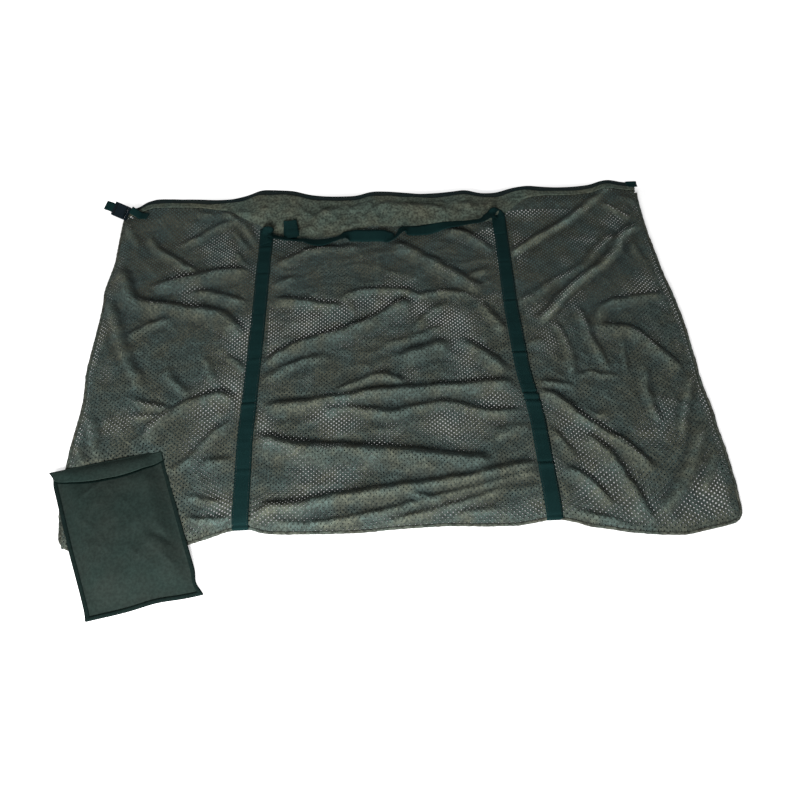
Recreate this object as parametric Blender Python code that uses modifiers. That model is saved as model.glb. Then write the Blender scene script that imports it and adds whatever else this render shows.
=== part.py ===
"""Carp sack laid flat on the ground and zipped shut, with its storage pouch on its near left corner.

Lengths are in metres. The origin is the middle of the sack's back panel, on the ground. +X runs along the
zip, +Y from the bottom edge to the zip and +Z up.
"""

import math

import bmesh
import bpy
from mathutils import Matrix, Vector

# Sack
SACK_WIDTH = 1.50
SACK_HEIGHT = 1.00
CORNER_RADIUS = 0.030
CLOTH = 0.0012
SACK_INSIDE = 0.0059
GAP = 0.0003
CLOTH_GRID = 0.034
TOP_INSET = 0.012

# Webbing
WEBBING = 0.0016
WEBBING_WIDTH = 0.038
STRAP_SPACING = 0.676
STRAP_TOP = 0.117
STRAP_RETURN = 0.012

# Carrying handles
HANDLE_SAG = 0.050
HANDLE_SAG_SHARE = 0.55
HANDLE_STEP = 0.027
HANDLE_TWISTS = ((0.04, 0.0), (0.12, 34.0), (0.20, 0.0), (0.62, 0.0), (0.72, 28.0), (0.86, 0.0))

# Hems and zip
HEM_DEPTH = 0.044
TAPE = 0.0008
TAPE_DEPTH = 0.0275
TEETH_WIDTH = 0.0024
TEETH_THICKNESS = 0.0028
TEETH_SLOT = 0.0010
ZIP_LEFT = 0.030
ZIP_RIGHT = 0.022
STOP_LENGTH = 0.004

# Zip slider and its puller
SLIDER_LENGTH = 0.020
SLIDER_WIDTH = 0.010
SLIDER_INNER_WIDTH = 0.0078
SLIDER_PLATE = 0.0014
SLIDER_POST = 0.0006
SLIDER_POST_LENGTH = 0.005
BAIL_LENGTH = 0.0085
BAIL_HEIGHT = 0.0042
BAIL_WIDTH = 0.0024
BAIL_BAR = 0.0012
PULLER_LENGTH = 0.028
PULLER_WIDTH = 0.0076
PULLER_THICKNESS = 0.0014
PULLER_PIN_RADIUS = 0.0008
PULLER_EYE = 0.0070

# Zip end tab at the right corner
END_TAB_LENGTH = 0.032
END_TAB_DEPTH = 0.022

# Side-release clip at the left end of the zip
CLIP_WIDTH = 0.040
CLIP_THICKNESS = 0.0090
CLIP_WALL = 0.0018
CLIP_SHELL_LENGTH = 0.023
CLIP_BAR = 0.0045
CLIP_SLOT = 0.0048
CLIP_WEBBING = 0.030
CLIP_BASE_LENGTH = 0.0030
CLIP_GUIDE_WIDTH = 0.0070
CLIP_CLEARANCE = 0.0004
PRONG_WIDTH = 0.0036
PRONG_LENGTH = 0.0170
PRONG_PAD_LENGTH = 0.0075
WINDOW_START = 0.0090
CLIP_LEAN = 26.0
CLIP_TILT = 25.0
CLIP_CENTRE = (0.008 - SACK_WIDTH / 2, SACK_HEIGHT / 2 - 0.030, 0.0325)
CLIP_TAB_LENGTH = 0.026
CLIP_LOOP_RUN = Vector((0.046, -0.018, 0.0))

# Storage pouch
POUCH_WIDTH = 0.245
POUCH_HEIGHT = 0.352
POUCH_CENTRE = (0.144 - SACK_WIDTH / 2, 0.030 - SACK_HEIGHT / 2)
POUCH_TOP_ANGLE = 12.0
POUCH_SIDE_ANGLE = 19.0
POUCH_CORNER = 0.010
POUCH_GRID = 0.022
POUCH_DOME = 0.0085
POUCH_SHOULDER = 0.042
POUCH_BINDING_RADIUS = 0.0017
POUCH_RAMP = 0.055
FLAP_SIDE_DEPTH = 0.027
FLAP_MIDDLE_DEPTH = 0.048
TAPE_STRIP_LENGTH = 0.120
TAPE_STRIP_DEPTH = 0.016
TAPE_STRIP = 0.0008
TAPE_STRIP_DROP = 0.020
POUCH_LAYER_GAP = 0.0007
POUCH_MOUTH_DROP = 0.012
POUCH_MOUTH_EASE = 0.008

# Heights that follow from the layers
BACK_LIFT = WEBBING + GAP
FRONT_UNDERSIDE = BACK_LIFT + CLOTH + SACK_INSIDE
FRONT_TOP = FRONT_UNDERSIDE + CLOTH
SEAM_RADIUS = (FRONT_TOP - BACK_LIFT) / 2
SEAM_HEIGHT = BACK_LIFT + SEAM_RADIUS
ON_TOP = FRONT_TOP + GAP
ON_HEM = ON_TOP + max(CLOTH, TAPE) + GAP
TOP_EDGE = SACK_HEIGHT / 2
BOTTOM_EDGE = -SACK_HEIGHT / 2
SEAM_LINE = SACK_WIDTH / 2 - SEAM_RADIUS
BOTTOM_SEAM_LINE = BOTTOM_EDGE + SEAM_RADIUS
STRAP_END = TOP_EDGE - STRAP_TOP
HANDLE_LINE = STRAP_END + GAP + WEBBING_WIDTH / 2
STRAP_X = STRAP_SPACING / 2
HEM_END = TOP_EDGE - TAPE_DEPTH - GAP
HEM_START = HEM_END - HEM_DEPTH
LIFT_RAMP = 0.010
LIFT_MARGIN = 0.003

parts = bpy.data.collections.new("carp_sack")
cutters = bpy.data.collections.new("cutters")


def clear_scene():
    for obj in list(bpy.data.objects):
        bpy.data.objects.remove(obj, do_unlink=True)
    bpy.context.scene.collection.children.link(parts)
    bpy.context.scene.collection.children.link(cutters)


def material(name, colour, roughness, metallic=0.0):
    made = bpy.data.materials.get(name)
    if made is None:
        made = bpy.data.materials.new(name)
        made.use_nodes = True
        shader = made.node_tree.nodes["Principled BSDF"]
        shader.inputs["Base Color"].default_value = (*colour, 1.0)
        shader.inputs["Roughness"].default_value = roughness
        shader.inputs["Metallic"].default_value = metallic
        made.diffuse_color = (*colour, 1.0)
    return made


def net_cloth():
    return material("net_cloth", (0.055, 0.066, 0.055), 0.75)


def hem_cloth():
    return material("hem_cloth", (0.045, 0.055, 0.048), 0.75)


def webbing():
    return material("webbing", (0.010, 0.035, 0.034), 0.55)


def zip_tape():
    return material("zip_tape", (0.010, 0.016, 0.017), 0.8)


def zip_teeth():
    return material("zip_teeth", (0.006, 0.009, 0.010), 0.35)


def black_metal():
    return material("black_metal", (0.020, 0.022, 0.024), 0.3, 1.0)


def clip_plastic():
    return material("clip_plastic", (0.012, 0.015, 0.017), 0.35)


def pouch_nylon():
    return material("pouch_nylon", (0.034, 0.056, 0.048), 0.5)


def pouch_binding_cloth():
    return material("pouch_binding_cloth", (0.010, 0.022, 0.018), 0.7)


def hook_and_loop():
    return material("hook_and_loop", (0.012, 0.014, 0.014), 0.95)


def add_object(name, data, look, collection=parts):
    obj = bpy.data.objects.new(name, data)
    collection.objects.link(obj)
    if look is not None:
        data.materials.append(look)
    return obj


def mesh_object(name, bm, look, collection=parts):
    data = bpy.data.meshes.new(name)
    bm.to_mesh(data)
    bm.free()
    return add_object(name, data, look, collection)


def hide_helper(obj):
    obj.hide_render = True
    obj.display_type = "WIRE"


def box_mesh(low, high, place=None):
    bm = bmesh.new()
    bmesh.ops.create_cube(bm, size=1.0)
    low, high = Vector(low), Vector(high)
    for vert in bm.verts:
        vert.co = (low + high) / 2 + vert.co * (high - low)
    if place is not None:
        bm.transform(place)
    return bm


def box(name, low, high, look, place=None):
    return mesh_object(name, box_mesh(low, high, place), look)


def helper_box(name, low, high, place=None):
    obj = mesh_object(name, box_mesh(low, high, place), None, cutters)
    hide_helper(obj)
    return obj


def boolean(obj, operation, other):
    step = obj.modifiers.new(other.name, "BOOLEAN")
    step.operation = operation
    step.object = other


def soften(obj, width, segments=2):
    bevel = obj.modifiers.new("soft_edges", "BEVEL")
    bevel.width = width
    bevel.segments = segments
    bevel.limit_method = "ANGLE"
    bevel.angle_limit = math.radians(50)


def thicken(obj, thickness, offset):
    skin = obj.modifiers.new("thickness", "SOLIDIFY")
    skin.thickness = thickness
    skin.offset = offset


def smoothstep(value):
    value = min(max(value, 0.0), 1.0)
    return value * value * (3 - 2 * value)


def rounded_outline(half_width, low, high, radius, steps=5):
    """Points round a rectangle with round corners, centred on x = 0."""
    corners = (
        (half_width - radius, high - radius, 0),
        (-half_width + radius, high - radius, 90),
        (-half_width + radius, low + radius, 180),
        (half_width - radius, low + radius, 270),
    )
    outline = []
    for x, y, start in corners:
        for step in range(steps + 1):
            angle = math.radians(start + 90 * step / steps)
            outline.append((x + radius * math.cos(angle), y + radius * math.sin(angle)))
    return outline


def spaced(low, high, pitch):
    """Even cut lines between two limits, about a pitch apart."""
    count = max(int(round((high - low) / pitch)), 1)
    return [low + (high - low) * step / count for step in range(1, count)]


def with_edges(cuts, edges, apart):
    """The cut lines, with those too near an edge replaced by the edge itself."""
    return [cut for cut in cuts if all(abs(cut - edge) > apart for edge in edges)] + edges


def cut_sheet(outline, x_cuts, y_cuts):
    """A flat sheet of the outline's shape, divided along the cut lines."""
    bm = bmesh.new()
    bm.faces.new([bm.verts.new((x, y, 0)) for x, y in outline])
    for normal, cuts in (((1, 0, 0), x_cuts), ((0, 1, 0), y_cuts)):
        for cut in cuts:
            everything = bm.verts[:] + bm.edges[:] + bm.faces[:]
            point = Vector(normal) * cut
            bmesh.ops.bisect_plane(bm, geom=everything, plane_co=point, plane_no=normal, dist=1e-5)
    bmesh.ops.recalc_face_normals(bm, faces=bm.faces)
    if bm.faces[0].normal.z < 0:
        bmesh.ops.reverse_faces(bm, faces=bm.faces)
    return bm


def cloth_piece(name, bm, place, look, thickness=CLOTH):
    """A cut sheet whose points are moved by place(x, y), thickened upwards."""
    for vert in bm.verts:
        vert.co = place(vert.co.x, vert.co.y)
    obj = mesh_object(name, bm, look)
    thicken(obj, thickness, 1.0)
    return obj


def set_origin(point, *pieces):
    """Moves the origin of unplaced pieces to a point, and leaves their shape where it is."""
    for obj in pieces:
        obj.data.transform(Matrix.Translation(-Vector(point)))
        obj.location = point


def poly_curve(name, points, look, tilts=None):
    data = bpy.data.curves.new(name, "CURVE")
    data.dimensions = "3D"
    data.twist_mode = "Z_UP"
    spline = data.splines.new("POLY")
    spline.points.add(len(points) - 1)
    for index, point in enumerate(points):
        spline.points[index].co = (*point, 1.0)
        spline.points[index].tilt = tilts[index] if tilts else 0.0
    return add_object(name, data, look)


def tube(name, points, radius, look):
    obj = poly_curve(name, points, look)
    obj.data.bevel_depth = radius
    obj.data.bevel_resolution = 2
    obj.data.use_fill_caps = True
    return obj


def strip_across(name, profile, low_x, high_x, thickness, look):
    """A flat strip whose profile lies in the YZ plane and which is as wide as low_x to high_x."""
    bm = bmesh.new()
    verts = [bm.verts.new((low_x, y, z)) for y, z in profile]
    edges = [bm.edges.new(pair) for pair in zip(verts, verts[1:])]
    widened = bmesh.ops.extrude_edge_only(bm, edges=edges)
    moved = [item for item in widened["geom"] if isinstance(item, bmesh.types.BMVert)]
    bmesh.ops.translate(bm, verts=moved, vec=(high_x - low_x, 0, 0))
    bmesh.ops.recalc_face_normals(bm, faces=bm.faces)
    obj = mesh_object(name, bm, look)
    thicken(obj, thickness, 0.0)
    return obj


def outside_by(x, y, zone):
    """How far a point lies outside a zone (low x, high x, low y, high y), 0 inside it."""
    low_x, high_x, low_y, high_y = zone
    return max(low_x - x, x - high_x, low_y - y, y - high_y, 0.0)


def panel_inset():
    """How far the panels stop short of the seam line, so that they meet the round seam with a gap."""
    corner = SEAM_RADIUS - CLOTH
    return math.sqrt(SEAM_RADIUS**2 - corner**2) + GAP + 0.0001


def panel_outline():
    inset = panel_inset()
    radius = CORNER_RADIUS - SEAM_RADIUS - inset
    return rounded_outline(SEAM_LINE - inset, BOTTOM_SEAM_LINE + inset, TOP_EDGE - TOP_INSET, radius)


def strap_zones(margin):
    half = WEBBING_WIDTH / 2 + margin
    return [(side * STRAP_X - half, side * STRAP_X + half, BOTTOM_EDGE, STRAP_END + margin) for side in (-1, 1)]


def handle_zone(margin):
    reach = STRAP_X + WEBBING_WIDTH / 2 + margin
    return (-reach, reach, HANDLE_LINE - HANDLE_SAG - WEBBING_WIDTH / 2 - margin, TOP_EDGE)


def back_panel():
    """The underside lies on the ground, and rises over the webbing and tapes that pass beneath it."""
    border = SEAM_LINE - 2 * SEAM_RADIUS
    low_border = BOTTOM_SEAM_LINE + 2 * SEAM_RADIUS
    zones = strap_zones(LIFT_MARGIN) + [
        handle_zone(LIFT_MARGIN),
        (-SACK_WIDTH, -border, -SACK_HEIGHT, SACK_HEIGHT),
        (border, SACK_WIDTH, -SACK_HEIGHT, SACK_HEIGHT),
        (-SACK_WIDTH, SACK_WIDTH, -SACK_HEIGHT, low_border),
        (-SACK_WIDTH, SACK_WIDTH, HEM_START - LIFT_MARGIN, SACK_HEIGHT),
    ]

    def place(x, y):
        beyond = min(outside_by(x, y, zone) for zone in zones)
        return Vector((x, y, BACK_LIFT * max(1 - beyond / LIFT_RAMP, 0.0)))

    x_cuts = []
    y_cuts = []
    for low_x, high_x, low_y, high_y in zones:
        x_cuts += [low_x - LIFT_RAMP, low_x, high_x, high_x + LIFT_RAMP]
        y_cuts += [low_y - LIFT_RAMP, low_y, high_y, high_y + LIFT_RAMP]
    bm = cut_sheet(panel_outline(), sorted(set(x_cuts)), sorted(set(y_cuts)))
    return cloth_piece("back_panel", bm, place, net_cloth())


# Folds of the front panel: start, end, height and half-width of each ridge
FOLDS = (
    ((0.40, 0.29), (0.63, 0.46), 0.012, 0.030),
    ((0.41, 0.06), (0.62, 0.22), 0.013, 0.026),
    ((0.62, 0.22), (0.70, 0.34), 0.012, 0.026),
    ((0.42, -0.22), (0.60, -0.38), 0.012, 0.028),
    ((0.45, -0.31), (0.54, -0.44), 0.009, 0.024),
    ((0.62, -0.46), (0.71, -0.33), 0.009, 0.024),
    ((0.70, -0.11), (0.67, -0.28), 0.010, 0.024),
    ((0.02, 0.27), (0.24, 0.15), 0.012, 0.028),
    ((-0.27, -0.05), (-0.03, 0.08), 0.010, 0.028),
    ((-0.03, 0.08), (0.13, 0.12), 0.010, 0.028),
    ((-0.27, 0.21), (-0.10, 0.26), 0.009, 0.026),
    ((-0.26, -0.18), (-0.04, -0.14), 0.010, 0.026),
    ((-0.04, -0.14), (0.26, -0.14), 0.009, 0.026),
    ((-0.26, -0.29), (0.26, -0.35), 0.010, 0.030),
    ((-0.26, -0.43), (0.26, -0.41), 0.008, 0.024),
    ((-0.64, 0.40), (-0.53, 0.26), 0.010, 0.028),
    ((-0.62, 0.21), (-0.42, 0.25), 0.011, 0.028),
    ((-0.70, 0.26), (-0.60, 0.09), 0.010, 0.028),
    ((-0.71, 0.12), (-0.64, -0.04), 0.009, 0.026),
    ((-0.62, -0.12), (-0.43, -0.15), 0.009, 0.026),
)
FOLD_FADE = 0.045


def distance_to_segment(x, y, start, end):
    along_x, along_y = end[0] - start[0], end[1] - start[1]
    t = ((x - start[0]) * along_x + (y - start[1]) * along_y) / (along_x**2 + along_y**2)
    t = min(max(t, 0.0), 1.0)
    return math.hypot(x - start[0] - t * along_x, y - start[1] - t * along_y)


def pouch_zone():
    """The square-on box round the turned pouch, with room for one cell of the cloth's grid."""
    top_turn = math.radians(POUCH_TOP_ANGLE)
    side_turn = math.radians(POUCH_SIDE_ANGLE)
    reach_x = (POUCH_WIDTH * math.cos(top_turn) + POUCH_HEIGHT * math.sin(side_turn)) / 2 + CLOTH_GRID
    reach_y = (POUCH_WIDTH * math.sin(top_turn) + POUCH_HEIGHT * math.cos(side_turn)) / 2 + CLOTH_GRID
    x, y = POUCH_CENTRE
    return (x - reach_x, x + reach_x, y - reach_y, y + reach_y)


def fold_height(x, y):
    """Height of the cloth over its flat level: ridges that die out towards what lies on the sack."""
    edge = FOLD_FADE / 2
    flat_zones = strap_zones(LIFT_MARGIN) + [
        handle_zone(LIFT_MARGIN),
        pouch_zone(),
        (-SACK_WIDTH, SACK_WIDTH, HEM_START, SACK_HEIGHT),
        (-SACK_WIDTH, SACK_WIDTH, -SACK_HEIGHT, BOTTOM_EDGE + edge),
        (-SACK_WIDTH, -SACK_WIDTH / 2 + edge, -SACK_HEIGHT, SACK_HEIGHT),
        (SACK_WIDTH / 2 - edge, SACK_WIDTH, -SACK_HEIGHT, SACK_HEIGHT),
    ]
    clear = min(outside_by(x, y, zone) for zone in flat_zones)
    ridges = 0.0
    for start, end, height, half_width in FOLDS:
        ridges += height * math.exp(-((distance_to_segment(x, y, start, end) / half_width) ** 2))
    return ridges * smoothstep(clear / FOLD_FADE)


def front_panel():
    def place(x, y):
        return Vector((x, y, FRONT_UNDERSIDE + fold_height(x, y)))

    outline = panel_outline()
    reach_x = max(x for x, _ in outline)
    low_y = min(y for _, y in outline)
    high_y = max(y for _, y in outline)
    x_cuts = spaced(-reach_x, reach_x, CLOTH_GRID)
    y_cuts = spaced(low_y, high_y, CLOTH_GRID)
    beside_straps = [edge for zone in strap_zones(LIFT_MARGIN) for edge in zone[:2]]
    below_hem = [handle_zone(LIFT_MARGIN)[2], HEM_START]
    x_cuts = with_edges(x_cuts, beside_straps, CLOTH_GRID / 4)
    y_cuts = with_edges(y_cuts, below_hem, CLOTH_GRID / 4)
    return cloth_piece("front_panel", cut_sheet(outline, x_cuts, y_cuts), place, net_cloth())


def side_and_bottom_seams():
    """The rolled edges, where the two panels are sewn together: one along each side and one along the bottom."""
    radius = CORNER_RADIUS - SEAM_RADIUS
    corner_y = BOTTOM_SEAM_LINE + radius
    corner_x = SEAM_LINE - radius
    top_corner_y = TOP_EDGE - TOP_INSET + panel_inset() - radius
    split = corner_y + 2 * GAP
    for name, side in (("left_side_seam", -1), ("right_side_seam", 1)):
        line = [Vector((side * SEAM_LINE, y, SEAM_HEIGHT)) for y in (split, 0.0)]
        for step in range(6):
            angle = math.radians(90 * step / 6)
            line.append(
                Vector((
                    side * (corner_x + radius * math.cos(angle)),
                    top_corner_y + radius * math.sin(angle),
                    SEAM_HEIGHT,
                ))
            )
        tube(name, line, SEAM_RADIUS, hem_cloth())
    bottom = []
    for side, start in ((-1, 180), (1, 270)):
        for step in range(7):
            angle = math.radians(start + 90 * step / 6)
            bottom.append(
                Vector((
                    side * corner_x + radius * math.cos(angle),
                    corner_y + radius * math.sin(angle),
                    SEAM_HEIGHT,
                ))
            )
    tube("bottom_seam", bottom, SEAM_RADIUS, hem_cloth())


def straps():
    """Each strap runs down the front and round the bottom edge, and meets its other run under the sack."""
    centre_y, centre_z = BOTTOM_SEAM_LINE, SEAM_HEIGHT
    bend = SEAM_RADIUS + GAP + WEBBING / 2
    front = [(HANDLE_LINE + WEBBING_WIDTH / 2, centre_z + bend)]
    for step in range(9):
        angle = math.radians(90 + 180 * step / 8)
        front.append((centre_y + bend * math.cos(angle), centre_z + bend * math.sin(angle)))
    meeting = centre_y + STRAP_RETURN
    front.append((meeting, centre_z - bend))
    back = [(meeting + GAP, WEBBING / 2), (STRAP_END, WEBBING / 2)]
    for word, side in (("left", -1), ("right", 1)):
        low_x = side * STRAP_X - WEBBING_WIDTH / 2
        high_x = low_x + WEBBING_WIDTH
        strip_across(f"front_strap_{word}", front, low_x, high_x, WEBBING, webbing())
        strip_across(f"back_strap_{word}", back, low_x, high_x, WEBBING, webbing())


def twist_at(share):
    """Degrees by which the front handle turns on edge, at a share of its length."""
    angle = 0.0
    for (start, low), (end, high) in zip(HANDLE_TWISTS, HANDLE_TWISTS[1:]):
        if start <= share <= end:
            angle = low + (high - low) * smoothstep((share - start) / (end - start))
    return math.radians(angle)


def handle_path(twist, on_strap):
    """Centre line and tilts of a handle that lies on the sack, with its ends raised by on_strap."""
    reach = STRAP_X + WEBBING_WIDTH / 2
    inner = STRAP_X - WEBBING_WIDTH / 2
    count = 44
    points, tilts = [], []
    for step in range(count + 1):
        share = step / count
        x = -reach + 2 * reach * share
        sag = HANDLE_SAG * smoothstep((1 - abs(x) / inner) / HANDLE_SAG_SHARE)
        to_strap = smoothstep(1 + (abs(x) - inner + LIFT_MARGIN) / HANDLE_STEP)
        angle = twist_at(share) if twist else 0.0
        lift = WEBBING_WIDTH / 2 * math.sin(angle) + on_strap * to_strap
        points.append(Vector((x, HANDLE_LINE - sag, WEBBING / 2 + lift)))
        tilts.append(math.pi / 2 - angle)
    return points, tilts


def handles():
    """Each handle swings about the line past its ends: the front one is sewn on the strap ends there."""
    for name, base, twist, on_strap in (
        ("front_handle", ON_TOP, True, WEBBING + GAP),
        ("back_handle", 0.0, False, 0.0),
    ):
        points, tilts = handle_path(twist, on_strap)
        obj = poly_curve(name, [point + Vector((0, 0, base)) for point in points], webbing(), tilts)
        obj.data.extrude = WEBBING_WIDTH / 2
        thicken(obj, WEBBING, 0.0)
        set_origin((0, HANDLE_LINE + WEBBING_WIDTH / 2 + WEBBING, base + WEBBING / 2), obj)


def hems():
    """Doubled bands of plain cloth under each zip tape, one on the front and one beneath the back."""
    reach = SACK_WIDTH / 2 - CORNER_RADIUS
    under = BACK_LIFT - GAP
    box("front_hem", (-reach, HEM_START, ON_TOP), (reach, HEM_END, ON_TOP + CLOTH), hem_cloth())
    box("back_hem", (-reach, HEM_START, under - CLOTH), (reach, HEM_END, under), hem_cloth())


ZIP_PLANE = TOP_EDGE - TEETH_THICKNESS / 2
ZIP_START = -SACK_WIDTH / 2 + ZIP_LEFT
ZIP_END = SACK_WIDTH / 2 - ZIP_RIGHT
ROW_INNER = TEETH_SLOT / 2
ROW_OUTER = TEETH_SLOT / 2 + TEETH_WIDTH


def zip_tapes():
    """Each tape lies flat on its panel and turns down, or up, to carry its row of teeth along the top edge."""
    for name, side, flat in (
        ("zip_tape_front", 1, ON_TOP + TAPE / 2),
        ("zip_tape_back", -1, BACK_LIFT - GAP - TAPE / 2),
    ):
        turn = TAPE
        edge = SEAM_HEIGHT + side * (ROW_OUTER + GAP)
        profile = [
            (TOP_EDGE - TAPE_DEPTH, flat),
            (ZIP_PLANE - turn, flat),
            (ZIP_PLANE, flat - side * turn),
            (ZIP_PLANE, edge),
        ]
        strip_across(name, profile, ZIP_START - STOP_LENGTH, ZIP_END + STOP_LENGTH, TAPE, zip_tape())


def zip_rows():
    """The two closed rows of teeth. A narrow slot between them is where the slider's post runs."""
    low_y, high_y = ZIP_PLANE - TEETH_THICKNESS / 2, ZIP_PLANE + TEETH_THICKNESS / 2
    for name, low, high in (
        ("zip_teeth_front", ROW_INNER, ROW_OUTER),
        ("zip_teeth_back", -ROW_OUTER, -ROW_INNER),
    ):
        box(name, (ZIP_START, low_y, SEAM_HEIGHT + low), (ZIP_END, high_y, SEAM_HEIGHT + high), zip_teeth())
    stops = (
        ("zip_top_stop_front", ZIP_START - GAP - STOP_LENGTH, ROW_INNER, ROW_OUTER),
        ("zip_top_stop_back", ZIP_START - GAP - STOP_LENGTH, -ROW_OUTER, -ROW_INNER),
        ("zip_bottom_stop", ZIP_END + GAP, -ROW_OUTER, ROW_OUTER),
    )
    for name, x, low, high in stops:
        low_corner = (x, low_y - GAP, SEAM_HEIGHT + low)
        high_corner = (x + STOP_LENGTH, high_y + GAP, SEAM_HEIGHT + high)
        box(name, low_corner, high_corner, black_metal())


SLIDER_X = ZIP_START + SLIDER_LENGTH / 2
OUTER_FACE = ZIP_PLANE + TEETH_THICKNESS / 2 + GAP
INNER_FACE = ZIP_PLANE - TEETH_THICKNESS / 2 - GAP
PIN_Y = OUTER_FACE + SLIDER_PLATE + PULLER_PIN_RADIUS + GAP


def zip_slider():
    """Outer and inner plates joined by a post in the slot between the rows, with a bail on the outer plate."""
    half = SLIDER_LENGTH / 2
    half_outer = SLIDER_WIDTH / 2
    half_inner = SLIDER_INNER_WIDTH / 2
    outer_top = OUTER_FACE + SLIDER_PLATE
    slider = box(
        "zip_slider",
        (SLIDER_X - half, OUTER_FACE, SEAM_HEIGHT - half_outer),
        (SLIDER_X + half, outer_top, SEAM_HEIGHT + half_outer),
        black_metal(),
    )
    inner = helper_box(
        "slider_inner_plate",
        (SLIDER_X - half, INNER_FACE - SLIDER_PLATE, SEAM_HEIGHT - half_inner),
        (SLIDER_X + half, INNER_FACE, SEAM_HEIGHT + half_inner),
    )
    post = helper_box(
        "slider_post",
        (SLIDER_X - half, INNER_FACE - SLIDER_PLATE / 2, SEAM_HEIGHT - SLIDER_POST / 2),
        (SLIDER_X - half + SLIDER_POST_LENGTH, outer_top - SLIDER_PLATE / 2, SEAM_HEIGHT + SLIDER_POST / 2),
    )
    bail = helper_box(
        "slider_bail",
        (SLIDER_X - BAIL_LENGTH / 2, outer_top - SLIDER_PLATE / 2, SEAM_HEIGHT - BAIL_WIDTH / 2),
        (SLIDER_X + BAIL_LENGTH / 2, outer_top + BAIL_HEIGHT, SEAM_HEIGHT + BAIL_WIDTH / 2),
    )
    bail_hole = helper_box(
        "slider_bail_hole",
        (SLIDER_X - BAIL_LENGTH / 2 + BAIL_BAR, outer_top, SEAM_HEIGHT - BAIL_WIDTH),
        (SLIDER_X + BAIL_LENGTH / 2 - BAIL_BAR, outer_top + BAIL_HEIGHT - BAIL_BAR, SEAM_HEIGHT + BAIL_WIDTH),
    )
    set_origin((SLIDER_X, OUTER_FACE, SEAM_HEIGHT), slider)
    soften(slider, SLIDER_PLATE / 4)
    boolean(bail, "DIFFERENCE", bail_hole)
    boolean(slider, "UNION", bail)
    boolean(slider, "UNION", post)
    boolean(slider, "UNION", inner)


def zip_puller():
    """A flat tab with an eye: its pin passes through the bail, and its origin is on the pin."""
    pin = Vector((SLIDER_X, PIN_Y, SEAM_HEIGHT))
    half_width = PULLER_WIDTH / 2
    half_thick = PULLER_THICKNESS / 2
    start = PULLER_PIN_RADIUS
    puller = box("zip_puller", (-PULLER_LENGTH, -half_thick, -half_width), (start, half_thick, half_width), black_metal())
    puller.location = pin
    eye = helper_box(
        "puller_eye",
        (-PULLER_EYE, -PULLER_THICKNESS, -BAIL_WIDTH / 2 - 2 * GAP),
        (-start, PULLER_THICKNESS, BAIL_WIDTH / 2 + 2 * GAP),
    )
    end_hole = helper_box(
        "puller_end_hole",
        (-PULLER_LENGTH + 0.0020, -PULLER_THICKNESS, -half_width / 2),
        (-PULLER_LENGTH + 0.0055, PULLER_THICKNESS, half_width / 2),
    )
    for cutter in (eye, end_hole):
        cutter.location = pin
        boolean(puller, "DIFFERENCE", cutter)


def zip_end_tab():
    """A folded piece of tape, sewn over the right end of the zip."""
    low_z = ON_HEM
    high_x = SACK_WIDTH / 2 - CORNER_RADIUS / 3
    box(
        "zip_end_tab",
        (high_x - END_TAB_LENGTH, TOP_EDGE - END_TAB_DEPTH, low_z),
        (high_x, TOP_EDGE, low_z + WEBBING),
        webbing(),
    )


def clip_frame():
    """Turns the clip's own axes (x along its webbing, y across, z through) to how it lies on the corner."""
    lean = Matrix.Rotation(-math.radians(CLIP_LEAN), 4, "Z")
    tilt = Matrix.Rotation(math.radians(CLIP_TILT), 4, "X")
    return Matrix.Translation(CLIP_CENTRE) @ tilt @ lean


def clip_shell():
    """The female half: a flat box, open at its mouth, with a window at each side and a bar for its webbing."""
    place = clip_frame()
    half_width = CLIP_WIDTH / 2
    half_thick = CLIP_THICKNESS / 2
    end = -CLIP_SHELL_LENGTH - CLIP_SLOT - CLIP_BAR
    cavity = half_thick - CLIP_WALL
    shell = box("clip_female", (end, -half_width, -half_thick), (0, half_width, half_thick), clip_plastic(), place)
    set_origin(CLIP_CENTRE, shell)
    soften(shell, CLIP_WALL / 2)
    holes = (
        helper_box(
            "clip_cavity",
            (-CLIP_SHELL_LENGTH + CLIP_WALL, -half_width + CLIP_WALL, -cavity),
            (CLIP_WALL, half_width - CLIP_WALL, cavity),
            place,
        ),
        helper_box(
            "clip_windows",
            (-WINDOW_START - PRONG_PAD_LENGTH - 3 * CLIP_CLEARANCE, -CLIP_WIDTH, -cavity),
            (-WINDOW_START, CLIP_WIDTH, cavity),
            place,
        ),
        helper_box(
            "clip_female_slot",
            (end + CLIP_BAR, -CLIP_WEBBING / 2 - CLIP_CLEARANCE, -CLIP_THICKNESS),
            (end + CLIP_BAR + CLIP_SLOT, CLIP_WEBBING / 2 + CLIP_CLEARANCE, CLIP_THICKNESS),
            place,
        ),
    )
    for hole in holes:
        boolean(shell, "DIFFERENCE", hole)


def prong_line():
    """How far each prong's middle lies from the clip's middle line."""
    return CLIP_WIDTH / 2 - CLIP_WALL - 3 * CLIP_CLEARANCE - PRONG_WIDTH / 2


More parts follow.
